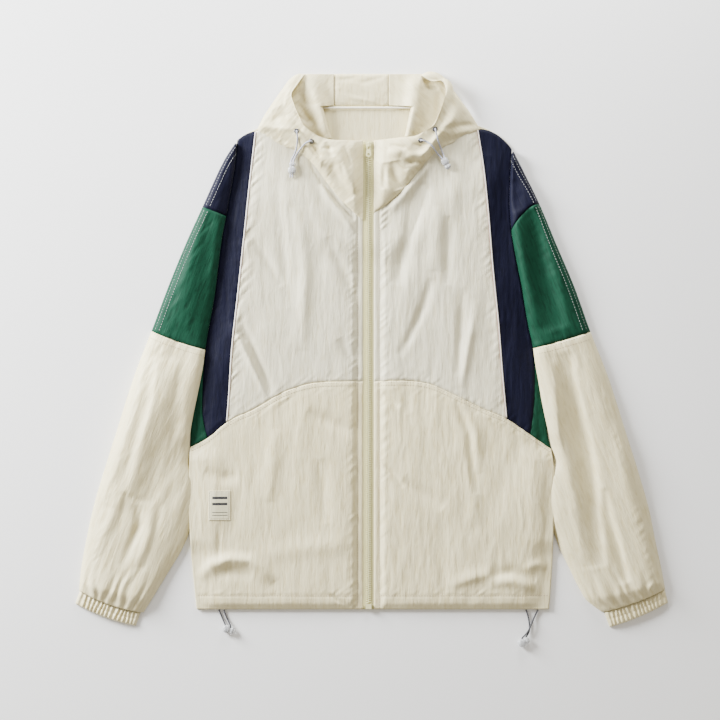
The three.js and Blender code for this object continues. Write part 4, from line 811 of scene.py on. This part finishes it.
def surface(name, u, v):
    """Points on a made sheet at places u, v."""
    p = pieces[name]
    fu = np.clip(np.asarray(u, float), 0, 1) * (p.shape[1] - 1)
    fv = np.clip(np.asarray(v, float), 0, 1) * (p.shape[0] - 1)
    i = np.minimum(fu.astype(int), p.shape[1] - 2)
    j = np.minimum(fv.astype(int), p.shape[0] - 2)
    a, b = (fu - i)[:, None], (fv - j)[:, None]
    return mix(mix(p[j, i], p[j, i + 1], a), mix(p[j + 1, i], p[j + 1, i + 1], a), b)


def panel(node, color, plan, top, cell, edges, bottom=None):
    """A cut piece of nylon, made as a sheet."""
    mat, slot = FABRIC[color]
    obj = cloth("cloth_" + node.replace("sleeve_", ""), node, slot, mat, plan, top, cell, edges, bottom)


seams = {"white": [], "cream": []}


def stitches(color, points, pitch=3.8, length=2.7, width=0.55, lift=0.16):
    """A run of topstitches along points of a surface."""
    d = np.linalg.norm(np.diff(points, axis=0), axis=1)
    s = np.concatenate([[0], np.cumsum(d)])
    starts = np.arange(pitch / 2, s[-1] - length, pitch)

    def at(t):
        return np.stack([np.interp(t, s, points[:, k]) for k in range(3)], -1)

    a, b = at(starts), at(starts + length)
    if not len(starts):
        return
    way = b - a
    way /= np.linalg.norm(way, axis=1)[:, None]
    aside = np.cross(way, [0, 0, 1.0])
    aside /= np.linalg.norm(aside, axis=1)[:, None] + 1e-9
    up = np.cross(aside, way)
    half = width / 2
    verts = [a, b]
    for t in (0.22, 0.78):
        c = a + (b - a) * t + up * lift
        verts += [c + aside * half, c + up * half, c - aside * half, c - up * half]
    seams[color].append(np.stack(verts, 1))


STITCH_FACES = [
    (0, 2, 3), (0, 3, 4), (0, 4, 5), (0, 5, 2), (1, 7, 6), (1, 8, 7), (1, 9, 8), (1, 6, 9),
    (2, 6, 7), (2, 7, 3), (3, 7, 8), (3, 8, 4), (4, 8, 9), (4, 9, 5), (5, 9, 6), (5, 6, 2),
]


# Back
def back_edge(s, y):
    low = np.where(y > UNDERARM, armhole[s](y), side[s](y))
    return np.where(y > SIDES[s]["shoulder"], back_top[s](y), low)


def back_plan(u, v):
    y = v * BACK_NECK
    return mix(back_edge("R", y), back_edge("L", y), u), y


def back_height(x, y, u, v):
    return back_under(x, y) + LOW + np.maximum(0, 0.35 * crinkle(x, y, 0, 3))


panel("back", "cream", back_plan, back_height, (3.5, 5), {}, back_under)


# Fronts
def on_back(x, y):
    return back_under(x, y) + OVER_LOW


def front_top(x, y):
    """The upper face of the front pieces, with their seams, stitches, puckers, creases and crinkle."""
    below = by_side(x, pocket_seam, x) - y
    placket = np.abs(x) - FRONT_EDGE
    stitch = -0.5 * bell(below - POCKET_STITCHES[0], 1.3)
    sewn = 0.5 - 1.5 * bell(placket - ZIP_STITCH, 1.3) - 0.5 * step(6, 12, placket)
    hem_band = -0.7 * bell(y - HEM_STITCH, 1.5)
    beside_piping = np.where(y > 258, np.abs(by_side(x, piping, y)) - np.abs(x), -1.0)
    sewn_lines = [
        (1.5, placket - ZIP_STITCH, 41, 11, 4.6), (1.6, beside_piping - 0.5, 44, 12, 4.8),
        (1.1, y - HEM_STITCH, 42, 8, 4.4), (1.1, below - POCKET_STITCHES[0], 43, 9, 4.6),
        (1.2, -below, 45, 11, 4.6),
    ]
    ripple = sum(height * puckers(x, y, *beside) for height, *beside in sewn_lines)
    calm = step(0, 12, y) * step(0, 10, placket) * mix(0.85, 1.2, step(-30, 30, x))
    inward = np.abs(np.where(y > UNDERARM, by_side(x, armhole, y), by_side(x, side, y))) - np.abs(x)
    middle = step(0, 9, y) * step(8, 16, placket)
    loft = 3.6 * middle * step(2, 40, inward) * step(25, 80, by_side(x, hood_edge, x) - y)
    creases = 2.1 * crease_height(BODY_CREASES, x, y) - 0.6 * np.maximum(0, fold_height(BODY_FOLDS, x, y))
    relief = calm * crinkle(x, y, 0.0, 11) + stitch + sewn + ripple + hem_band + creases * middle + loft
    return np.maximum(front_under(x, y) + CLOTH + relief, back_under(x, y) + 2.1)


def front_panels(s):
    """The four cut pieces of one front: upper front, stripe, gusset and lower front."""
    at = SIDES[s]
    arm, pipe, flank, pocket = armhole[s], piping[s], side[s], pocket_seam[s]
    pipe_top, pipe_end = at["pipe_top"], at["pipe_end"]
    gusset_end, side_end = at["gusset_end"], at["side_end"]
    gusset_top = at["underarm"] - 9
    zip_edge = at["sign"] * FRONT_EDGE
    neck_x = float(pipe(pipe_top))

    def neckline(x):
        return hood_edge[s](x) + 7

    def neck_top(t):
        x = mix(neck_x, zip_edge, np.asarray(t, float))
        return x, mix(pipe_top, neckline(x), step(0, 0.12, t))

    def shoulder_line(t):
        t = np.asarray(t, float)
        bow = at["bow"] * np.clip(np.sin(np.pi * t), 0, 1) ** 0.7
        return mix(float(arm(at["shoulder"])), neck_x, t), mix(at["shoulder"], pipe_top, t) + bow

    def zip_line(t):
        return zip_edge + 0 * np.asarray(t), mix(float(neckline(zip_edge)), POCKET_TOP, t)

    def underarm_line(t):
        return mix(float(flank(gusset_top)), float(arm(gusset_top)), t), gusset_top + 0 * np.asarray(t)

    def turned(x, y):
        return back_under(x, y) + TURNED_EDGE + 1.2

    pipe_x, arm_x, side_x = float(pipe(pipe_end)), float(arm(gusset_end)), float(flank(side_end))
    piped = along_y(pipe, pipe_top, pipe_end)
    upper = patch(neck_top, along_x(pocket, pipe_x, zip_edge), piped, zip_line)
    sewn_in = along_y(arm, at["shoulder"], gusset_end)
    stripe = patch(shoulder_line, along_x(pocket, arm_x, pipe_x), sewn_in, piped)
    gusset = patch(underarm_line, along_x(pocket, side_x, arm_x), along_y(flank, gusset_top, side_end),
                   along_y(arm, gusset_top, gusset_end))
    hem = along_x(lambda x: 0 * x, float(flank(0)), zip_edge)
    lower_zip = along_y(lambda y: zip_edge + 0 * y, float(pocket(zip_edge)), 0)
    lower = patch(along_x(pocket, side_x, zip_edge), hem, along_y(flank, side_end, 0), lower_zip)
    folded, shoulder = ("round", 3, turned), ("round", 5, on_back)
    flank_edge, hem_edge = ("round", 6, on_back), ("round", 4, on_back)
    upper_edges = {"u0": ("seam", 1.0, 0.5), "v1": ("seam", 1.1, 0.4), "u1": folded}
    pocket_end = ("seam", 1.0, 0.3)
    stripe_edges = {"u0": ("seam", 1.4, 0.5), "u1": ("seam", 0.9, 0.4), "v1": pocket_end, "v0": shoulder}
    gusset_edges = {"u0": shoulder, "u1": ("seam", 1.0, 0.4), "v1": pocket_end}
    lower_edges = {"v0": ("seam", 1.1, 0.45), "u0": flank_edge, "v1": hem_edge, "u1": folded}
    for node, color, plan, edges in (
        ("front_upper_", "white", upper, upper_edges),
        ("stripe_", "navy", stripe, stripe_edges),
        ("gusset_", "green", gusset, gusset_edges),
        ("front_lower_", "cream", lower, lower_edges),
    ):
        panel(node + s, color, plan, lambda x, y, u, v: front_top(x, y), (1.8, 2.3), edges)


PIPING_RADIUS = 0.95


def piping_cord(s):
    """Corded piping, round, in the seam of stripe and upper front, with a darker outer edge."""
    y = mix(SIDES[s]["pipe_top"] - 1, SIDES[s]["pipe_end"] + 2, np.linspace(0, 1, 220))
    x = piping[s](y)
    centre = np.stack([x, y, front_top(x, y) + 0.15], -1)
    way = np.gradient(centre, axis=0)
    way /= np.linalg.norm(way, axis=1)[:, None]
    aside = np.cross(way, [0, 0, 1.0])
    up = np.cross(aside, way)
    rings, sides = len(centre), 8
    a = np.linspace(0, 2 * np.pi, sides, endpoint=False)[:, None]
    tube = centre[:, None] + PIPING_RADIUS * (np.cos(a) * aside[:, None] + np.sin(a) * up[:, None])
    cap = np.array([[0, 1, 2, 3], [0, 3, 4, 7], [4, 5, 6, 7]])
    quads = np.concatenate([ring_quads(rings, sides)[:, ::-1], cap, (rings - 1) * sides + cap[:, ::-1]])
    obj = mesh_object("cord_piping_" + s, row(tube.reshape(-1, 3)), quads, PIPING)
    obj.data.materials.append(PIPING_EDGE)
    outer = np.zeros(len(quads), np.int32)
    edge = np.isin(np.arange(sides), (3, 4) if s == "R" else (0, 7))
    outer[:(rings - 1) * sides] = np.tile(edge, rings - 1)
    obj.data.polygons.foreach_set("material_index", outer)
    attach(obj, "piping_" + s, "piping_cord")


def front_stitches(s):
    """Topstitching beside the zip, along the hem, and under the pocket's edge."""
    for name, start in (("cloth_front_upper_" + s, 0.12), ("cloth_front_lower_" + s, 0)):
        p = pieces[name]
        t = np.linspace(start, 1, 300)
        span = np.interp(t, np.linspace(0, 1, len(p)), np.abs(p[:, 0, 0] - p[:, -1, 0]))
        stitches("cream", surface(name, 1 - ZIP_STITCH / span, t))
    t = np.linspace(0.005, 0.97, 260)
    tall = np.interp(t, np.linspace(0, 1, p.shape[1]), np.abs(p[0, :, 1] - p[-1, :, 1]))
    for v in (1 - HEM_STITCH / tall, POCKET_STITCHES[0] / tall, POCKET_STITCHES[1] / tall):
        stitches("cream", surface(name, t, v))


for s in SIDES:
    front_panels(s)
    piping_cord(s)
    front_stitches(s)


# Sleeves and cuffs
def rounded(u):
    return np.clip(1 - (2 * u - 1) ** 4, 0, 1) ** 0.75


def bowed(u):
    return 4 * u * (1 - u)


def sleeve(s):
    """Cap, middle and lower sleeve, each a front over a back, with their topstitches."""
    table, turn, underarm = SLEEVE[s], SLEEVE_TURN[s], SIDES[s]["underarm"]
    ease = SIDES[s]["sign"] * GAP / 2

    def inner_x(y):
        return np.where(y > underarm, armhole[s](y) + ease * step(0, 30, y - underarm), sleeve_inner[s](y))

    def outline_low(x, y):
        return sleeve_under(x, y) + OVER_LOW

    def back_face(x, y, u, v):
        return sleeve_under(x, y) + LOW

    for band, color, first, last in BANDS:
        def plan(u, v):
            at = mix(first, last, v)
            y = table["inner_y"](at)
            x = mix(table["outer_x"](at), inner_x(y), u)
            return x, mix(table["outer_y"](at), y, u) - table["bow"](at) * bowed(u)

        def above(x, y, u, v):
            at = mix(first, last, v)
            gathers = (1 + np.sin(u * 2 * np.pi * 7 + 2.2 * noise(u * 5, at * 1.5, 71))) ** 0.8
            folds = 0.3 * np.maximum(0, fold_height(SLEEVE_FOLDS, x, y)) + 1.9 * step(10.4, 12, at) * gathers
            folds = folds + crease_height(SLEEVE_CREASES, x, y)
            relief = crinkle(x, y, turn, SIDES[s]["seed"]) * step(0, 0.1, u) * step(0, 0.1, 1 - u)
            inset = u * np.abs(table["outer_x"](at) - inner_x(table["inner_y"](at)))
            relief = relief + 0.7 * puckers(x, y, inset - 11, 46, 12, 4.4)
            raised = np.maximum(rounded(u) * (table["loft"](at) + 8.0 + folds) + 1.15 * relief, 0.2)
            return sleeve_under(x, y) + CLOTH + GAP + raised * mix(1, 0.5, step(11.5, 12, at)) + CLOTH

        outline = ("round", 6, outline_low)
        joins = {"u0": outline, "u1": outline, "v0": ("seam", 1.1, 0.7), "v1": ("seam", 1.1, 0.5)}
        if band == "cap":
            joins.pop("v0")
        if band != "lower":
            joins["u1"] = ("seam", 1.4, 0.5)
        front, back = ("sleeve_%s_%s_%s" % (band, layer, s) for layer in ("front", "back"))
        panel(front, color + "_" + s, plan, above, (1.9, 3.2), joins)
        panel(back, color + "_" + s, plan, back_face, (4, 6), {}, sleeve_under)
        name = "cloth_%s_front_%s" % (band, s)
        if band == "lower":
            for v in (2.0 / 350, 7.0 / 350):
                stitches("cream", surface(name, np.linspace(0.02, 0.98, 120), np.full(120, v)))
            continue
        p = pieces[name]
        t = np.linspace(0.04 if band == "cap" else 0.01, 0.99, 200)
        span = np.interp(t, np.linspace(0, 1, len(p)), np.linalg.norm(p[:, -1, :2] - p[:, 0, :2], axis=1))
        for inset in (4.2, 9.8):
            stitches("white", surface(name, inset / span, t), 4.0, 2.9, 0.46, 0.16)


def cuff(s):
    """Front and back of an elastic cuff, ribbed along the sleeve."""
    top, end = CUFF[s]

    def plan(u, v):
        x = mix(mix(top[0], top[2], u), mix(end[0], end[2], u), v)
        y = mix(mix(top[1], top[3], u), mix(end[1], end[3], u), v)
        return x, y - mix(top[4], end[4], v) * bowed(u)

    def front_face(x, y, u, v):
        wander = 0.35 * noise(u * 6, v * 1.2, 82)
        ribs = np.sin((u * CUFF_RIBS + wander) * np.pi) ** 2
        swell = 0.8 + 0.5 * np.sin(np.pi * v)
        stitched = 0.5 * bell(v - 0.5, 0.07)
        return CLOTH + GAP + CLOTH + rounded(u) * (1.6 + 2.1 * ribs * swell * (1 - stitched))

    def back_face(x, y, u, v):
        return LOW + 0.25 * np.sin(u * CUFF_RIBS * np.pi) ** 2

    outline = ("round", 3, 1.55)
    edges = {"u0": outline, "u1": outline, "v0": ("seam", 1.2, 0.2), "v1": ("round", 3, 1.6)}
    panel("cuff_front_" + s, "cream_" + s, plan, front_face, (0.7, 1.2), edges)
    panel("cuff_back_" + s, "cream_" + s, plan, back_face, (1.5, 3), {}, lambda x, y: 0 * x)


for s in SIDES:
    sleeve(s)
    cuff(s)


# Hood
def hood_floor(x, y):
    return back_under(x, np.minimum(y, CROWN["top"] - 1))


def hood_middle():
    """The middle strip of the hood, between its two seams."""
    def plan(u, v):
        return mix(REAR["R"][0][1], REAR["L"][0][1], u), mix(BACK_NECK, HOOD_FOLD, v)

    def top(x, y, u, v):
        aside = [np.abs(x - seam) for seam in HOOD_SEAMS]
        lines = sum(0.7 * bell(a, 1.3) for a in aside)
        sag = 0.8 * crinkle(x, y, 1.4, 51) + crease_height(HOOD_CREASES, x, y)
        sewn = sum(0.7 * puckers(x, y, a - 1, seed, 7, 4) for a, seed in zip(aside, (52, 53)))
        return hood_floor(x, y) + CLOTH + np.maximum(1.6 * np.sin(np.pi * v) + sag + sewn - lines, -0.6)

    sewn_side = ("seam", 0.6, 0.2)
    edges = {"v0": ("seam", 0.8, 0.3), "v1": ("round", 4, 2.4), "u0": sewn_side, "u1": sewn_side}
    panel("hood_middle", "cream", plan, top, (1.6, 1.6), edges, bottom=hood_floor)


def neck_binding():
    """The bound seam inside the back neck."""
    def plan(u, v):
        left, right, low, high = NECK_BINDING
        return mix(left, right, u), mix(BACK_NECK - low, BACK_NECK - high, v)

    def top(x, y, u, v):
        return hood_floor(x, y) + CLOTH + GAP + 2.2 + 0.5 * np.sin(np.pi * v) + 0.2 * noise(x / 9, 0, 4)

    cloth("trim_neck_binding", "neck_binding", "binding", BINDING, plan, top, (1.5, 0.45), {})


def hood_rear(s):
    """The rear of a side piece, with the ridge that rolls over the neck."""
    m, table = SIDES[s]["sign"], REAR[s]
    ridge, stand = (line([(r[0], r[i]) for r in table]) for i in (3, 4))
    from_x = table[0][1]

    def plan(u, v):
        at = np.asarray(v) * (len(table) - 1)
        y, inner, outer = (np.interp(at, range(len(table)), [r[i] for r in table]) for i in range(3))
        return mix(outer, inner, u), y

    def top(x, y, u, v):
        crest = stand(y) * bell(x - ridge(y), RIDGE_WIDTH)
        dip = 1.2 * step(0, 8, m * (x - ridge(y))) * step(0, 10, HOOD_FOLD - y)
        lift = np.where(y > BACK_NECK + 0.5, step(0, 14, m * (x - from_x)), 1.0)
        relief = crinkle(x, y, m * 0.5, 57) + crease_height(HOOD_CREASES, x, y)
        level = hood_floor(x, y) + CLOTH + (CLOTH + GAP) * lift
        return level + (crest + dip) * mix(0.12, 1, lift) + relief * lift

    tucked = ("round", 5, lambda x, y: hood_floor(x, y) + TURNED_EDGE)
    panel("hood_rear_" + s, "hood_" + s, plan, top, (1.5, 1.5), {"u1": tucked})


def hood_side(s):
    """A side piece with its brim, rolled over the front and sewn along the neckline."""
    m, brim, outline, edge = SIDES[s]["sign"], BRIM[s], HOOD_SIDE[s], hood_edge[s]
    zip_edge = m * FRONT_EDGE
    plan = patch(
        lambda t: (brim["x"](t), brim["y"](t)),
        along_x(edge, m * HOOD_SHOULDER, zip_edge),
        lambda t: (outline["x"](t), outline["y"](t)),
        lambda t: (zip_edge + 0 * np.asarray(t), mix(ZIP_TOP, float(edge(zip_edge)), t)),
    )

    def top(x, y, u, v):
        over = np.maximum(front_under(x, y), hood_floor(x, y) + 2 * (CLOTH + GAP))
        raised = brim["height"](u) * (1 - step(0, 1, v) * 0.75) * mix(0.6, 1, step(0, 0.1, u))
        roll = 6.5 * np.sin(np.pi * np.minimum(1, u * 1.25)) * bell(v - 0.66, 0.16)
        flattened = mix(0.06, 1, 1 - step(0.8, 1, v)) * (1 - 0.4 * step(0.85, 1, u))
        puff = 8.5 * step(0.6, 0.84, u) * np.sin(np.pi * np.clip(v, 0, 1)) ** 0.7
        wrinkled = (crease_height(HOOD_CREASES, x, y) + 1.35 * crinkle(x, y, m * 0.7, 61)) * step(0, 0.05, v)
        wrinkled = wrinkled + 0.8 * puckers(x, y, y - edge(x), 62, 9, 4.4) + puff
        above = CLOTH + 1.4 * GAP + (raised + roll) * flattened + wrinkled
        beside_zip = mix(0.12, 1, step(-1, 15, np.abs(x) - FRONT_EDGE))
        return over + CLOTH + GAP + np.maximum(above, 0) * beside_zip

    def shoulder_low(x, y):
        return np.minimum(back_under(x, y) + 2.5, 6)

    edges = {"u0": ("round", 7, shoulder_low), "v1": ("seam", 1.2, 0.5)}
    panel("hood_side_" + s, "hood_" + s, plan, top, (1.6, 1.6), edges)


def crown_ring(inset, z, count=72):
    """The crown's outline, moved inward, at a height."""
    half, corner = CROWN["half"] - inset, CROWN["corner"] - inset
    low, high = CROWN["bottom"] + inset, CROWN["top"] - inset
    angles = np.linspace(np.pi, 1.5 * np.pi, count)
    centre_x, centre_y = CROWN["x"] - half + corner, low + corner
    left = np.stack([centre_x + corner * np.cos(angles), centre_y + corner * np.sin(angles)], 1)
    right = left[::-1].copy()
    right[:, 0] = 2 * CROWN["x"] - right[:, 0]
    end, start = right[-1], left[0]
    top_right, top_left = np.array([end[0], high]), np.array([start[0], high])
    t = np.linspace(0, 1, count)[:, None]
    ring = np.concatenate([left, right, mix(end, top_right, t[1:-1]), mix(top_right, top_left, t),
                           mix(top_left, start, t[1:-1])])
    return np.column_stack([ring, np.full(len(ring), z)])


# inset from the crown's outline, and height, around its two layers
CROWN_PROFILE = [
    (46, 0.0), (14, 0.0), (1.2, 0.0), (0.25, 0.35), (0, 0.7), (0.3, 1.1), (0.9, 1.35), (0.3, 1.6), (0, 2.0),
    (0.25, 2.35), (1.2, 2.7), (14, 2.7), (46, 2.7),
]


def hood_crown():
    """The crown folded under the back: two layers that show at its rounded edge."""
    loops = [crown_ring(inset, z) for inset, z in CROWN_PROFILE]
    n, points = len(loops[0]), np.concatenate(loops)
    middle = points[:n, :2].mean(0)
    quads = ring_quads(len(loops), n)
    i = np.arange(n)
    after, last = (i + 1) % n, (len(loops) - 1) * n
    tris = np.concatenate([
        np.stack([quads[:, :3], quads[:, [0, 2, 3]]], 1).reshape(-1, 3),
        np.stack([after, i, np.full(n, len(points))], 1),
        np.stack([last + i, last + after, np.full(n, len(points) + 1)], 1),
    ])
    points = np.concatenate([points, [[*middle, CROWN_PROFILE[0][1]], [*middle, CROWN_PROFILE[-1][1]]]])
    mat, slot = FABRIC["cream"]
    crown = attach(mesh_object("cloth_hood_crown", row(points), tris, mat), "hood_crown", slot)


hood_middle()
neck_binding()
for s in SIDES:
    hood_rear(s)
    hood_side(s)
hood_crown()


# Zip
def zip_under(x, y):
    return back_under(x, y) + TURNED_EDGE


def zip_tape(s):
    """The woven tape of one side, from the chain to under the front's edge."""
    def plan(u, v):
        return SIDES[s]["sign"] * mix(0.15, FRONT_EDGE + 2.5, u), mix(0, ZIP_TOP - 1, v)

    def top(x, y, u, v):
        return zip_under(x, y) + 1 + 0.15 * noise(x / 3, y / 9, 91)

    cloth("zip_tape_cloth_" + s, "zip_tape_" + s, "zip_tape", TAPE, plan, top, (1.6, 6), {})


TOOTH = {"pitch": 3.0, "reach": 3.4, "back": 0.9, "tall": 1.25, "rise": 1.7, "first": 9, "end": 638}
TOOTH_SECTION = [(-0.5, 0), (-0.5, 0.72), (-0.32, 1), (0.32, 1), (0.5, 0.72), (0.5, 0)]
TOOTH_RINGS = [(-TOOTH["back"], 0.8), (0.2, 1.0), (TOOTH["reach"] - 0.5, 1.0), (TOOTH["reach"], 0.7)]


def zip_teeth():
    """Moulded teeth: those of the two sides stand by turns."""
    corners, rings = len(TOOTH_SECTION), len(TOOTH_RINGS)
    cap = np.array([[0, 1, 2, 3], [0, 3, 4, 5]])
    quads = np.concatenate([ring_quads(rings, corners), cap[:, ::-1], (rings - 1) * corners + cap])
    points, faces = [], []
    for sign, phase in ((-1, 0.0), (1, 0.5)):
        for y in np.arange(TOOTH["first"] + phase * TOOTH["pitch"], TOOTH["end"], TOOTH["pitch"]):
            z = float(zip_under(0, y)) + 1.05
            faces.append(len(points) + (quads if sign < 0 else quads[:, ::-1]))
            points += [(sign * x, y + a * TOOTH["tall"] * shrink, z + b * TOOTH["rise"] * shrink)
                       for x, shrink in TOOTH_RINGS for a, b in TOOTH_SECTION]
    teeth = mesh_object("zip_teeth", row(points), np.concatenate(faces), TEETH, smooth=False)
    attach(teeth, "zip_chain", "zip_plastic")


for s in SIDES:
    zip_tape(s)
zip_teeth()
for node in ("zip_slider", "zip_pull_tab", "zip_box"):
    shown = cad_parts[node]
    shown.data.materials.clear()
    shown.data.materials.append(SLIDER_MAT)


# Woven patch
PATCH = {"left": -222, "right": -192, "bottom": 124, "top": 165, "margin": 0.16}
PATCH_STRIPES = [(0.71, 0.79), (0.50, 0.58), (0.25, 0.275), (0.15, 0.175)]  # parts of its height


def patch_plan(u, v):
    return mix(PATCH["left"], PATCH["right"], u), mix(PATCH["bottom"], PATCH["top"], v)


def patch_top(x, y, u, v):
    edge = np.minimum.reduce([u * 30, (1 - u) * 30, v * 41, (1 - v) * 41])
    border = 0.25 * step(0, 0.6, edge)
    return front_top(x, y) + 0.55 + border - 0.3 * bell(edge - 1.6, 0.5)


def woven_patch():
    """A woven patch with dark ruled lines, sewn on along its four edges."""
    obj = cloth("patch_woven", "patch", "patch", PATCH_BASE, patch_plan, patch_top, (0.5, 0.5), {})
    obj.data.materials.append(PATCH_DARK)
    rows_, cols = pieces["patch_woven"].shape[:2]
    j, i = np.mgrid[0:rows_ - 1, 0:cols - 1]
    up, across = (j / rows_).ravel(), (i / cols).ravel()
    dark = np.any([(up > lo) & (up < hi) for lo, hi in PATCH_STRIPES], axis=0)
    dark &= (across > PATCH["margin"]) & (across < 1 - PATCH["margin"])
    index = np.zeros(len(obj.data.polygons), np.int32)
    index[:len(dark)] = dark
    obj.data.polygons.foreach_set("material_index", index)
    corners = [(0.03, 0.03), (0.97, 0.03), (0.97, 0.97), (0.03, 0.97), (0.03, 0.03)]
    t = np.linspace(0, 1, 40)
    for (u0, v0), (u1, v1) in zip(corners, corners[1:]):
        stitches("cream", surface("patch_woven", mix(u0, u1, t), mix(v0, v1, t)), 2.4, 1.6, 0.4, 0.1)


woven_patch()

# Topstitches, one mesh a colour
for color, thread in (("white", THREAD_WHITE), ("cream", THREAD_CREAM)):
    runs = np.concatenate(seams[color])
    faces = np.array(STITCH_FACES) + runs.shape[1] * np.arange(len(runs))[:, None, None]
    obj = mesh_object("topstitch_" + color, row(runs.reshape(-1, 3)), faces.reshape(-1, 3), thread)
    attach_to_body(obj, ROOT)

# Eyelets of the hood's cord: name, x, y; and their section: radius, height
EYELETS = [("R_outer", -99.6, 664.2), ("R_inner", -79, 650),
           ("L_outer", 92.4, 666.6), ("L_inner", 72.3, 651.2)]
EYELET_PROFILE = [(1.75, 0.9), (2.1, 1.25), (2.7, 1.3), (3.3, 0.95), (3.65, 0.3), (3.6, -0.4), (1.7, -0.4),
                  (1.65, 0.4)]


def eyelet(name, x, y, count=32):
    """A metal ring seated on the cloth, leaned as the cloth under it leans."""
    lo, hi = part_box("eyelet_" + name)
    centre = np.array((lo + hi) / 2) / MM + ORIGIN
    p = pieces["cloth_hood_side_" + name[0]].reshape(-1, 3)
    near = p[np.hypot(p[:, 0] - centre[0], p[:, 1] - centre[1]) < 5]
    plane = np.column_stack([near[:, :2], np.ones(len(near))])
    gx, gy, level = np.linalg.lstsq(plane, near[:, 2], rcond=None)[0]
    normal = Vector((-gx, -gy, 1)).normalized()
    lean = np.array(Vector((0, 0, 1)).rotation_difference(normal).to_matrix())
    a = np.linspace(0, 2 * np.pi, count, endpoint=False)
    ring = [np.column_stack([r * np.cos(a), r * np.sin(a), np.full(count, h)]) for r, h in EYELET_PROFILE]
    points = np.concatenate(ring) @ lean.T + [x, y, gx * x + gy * y + level]
    quads = ring_quads(len(EYELET_PROFILE), count, closed=True)
    obj = mesh_object("eyelet_ring_" + name, row(points), quads, METAL)
    attach(obj, "eyelet_" + name, "eyelet_metal")


for name, x, y in EYELETS:
    eyelet(name, x, y)

# Floor and light
FLOOR = {"half": 3, "z": -0.0005}
around = ((-1, -1), (1, -1), (1, 1), (-1, 1))
corners = [(x * FLOOR["half"], y * FLOOR["half"], FLOOR["z"]) for x, y in around]
pale = material("pale_floor", (0.97, 0.97, 0.97), 0.9)
floor = mesh_object("floor", corners, [(0, 1, 2, 3)], pale, smooth=False)

world = bpy.data.worlds.new("studio")
bpy.context.scene.world = world
world.use_nodes = True
world.node_tree.nodes["Background"].inputs["Color"].default_value = (1.0, 0.93, 0.82, 1)
world.node_tree.nodes["Background"].inputs["Strength"].default_value = 0.6


def area_light(name, place, aim, size, power, color):
    light = bpy.data.lights.new(name, "AREA")
    light.shape = "SQUARE"
    light.size = size
    light.energy = power
    light.color = color
    obj = bpy.data.objects.new(name, light)
    obj.location = place
    obj.rotation_euler = (Vector(aim) - Vector(place)).to_track_quat("-Z", "Y").to_euler()
    bpy.context.collection.objects.link(obj)


COOL = (0.965, 0.985, 1.0)
area_light("key", (-1.9, 1.05, 0.72), (-0.1, 0, 0), 0.9, 262, COOL)
area_light("fill", (0.22, 1.15, 0.4), (0.02, 0.25, 0), 0.4, 19, COOL)
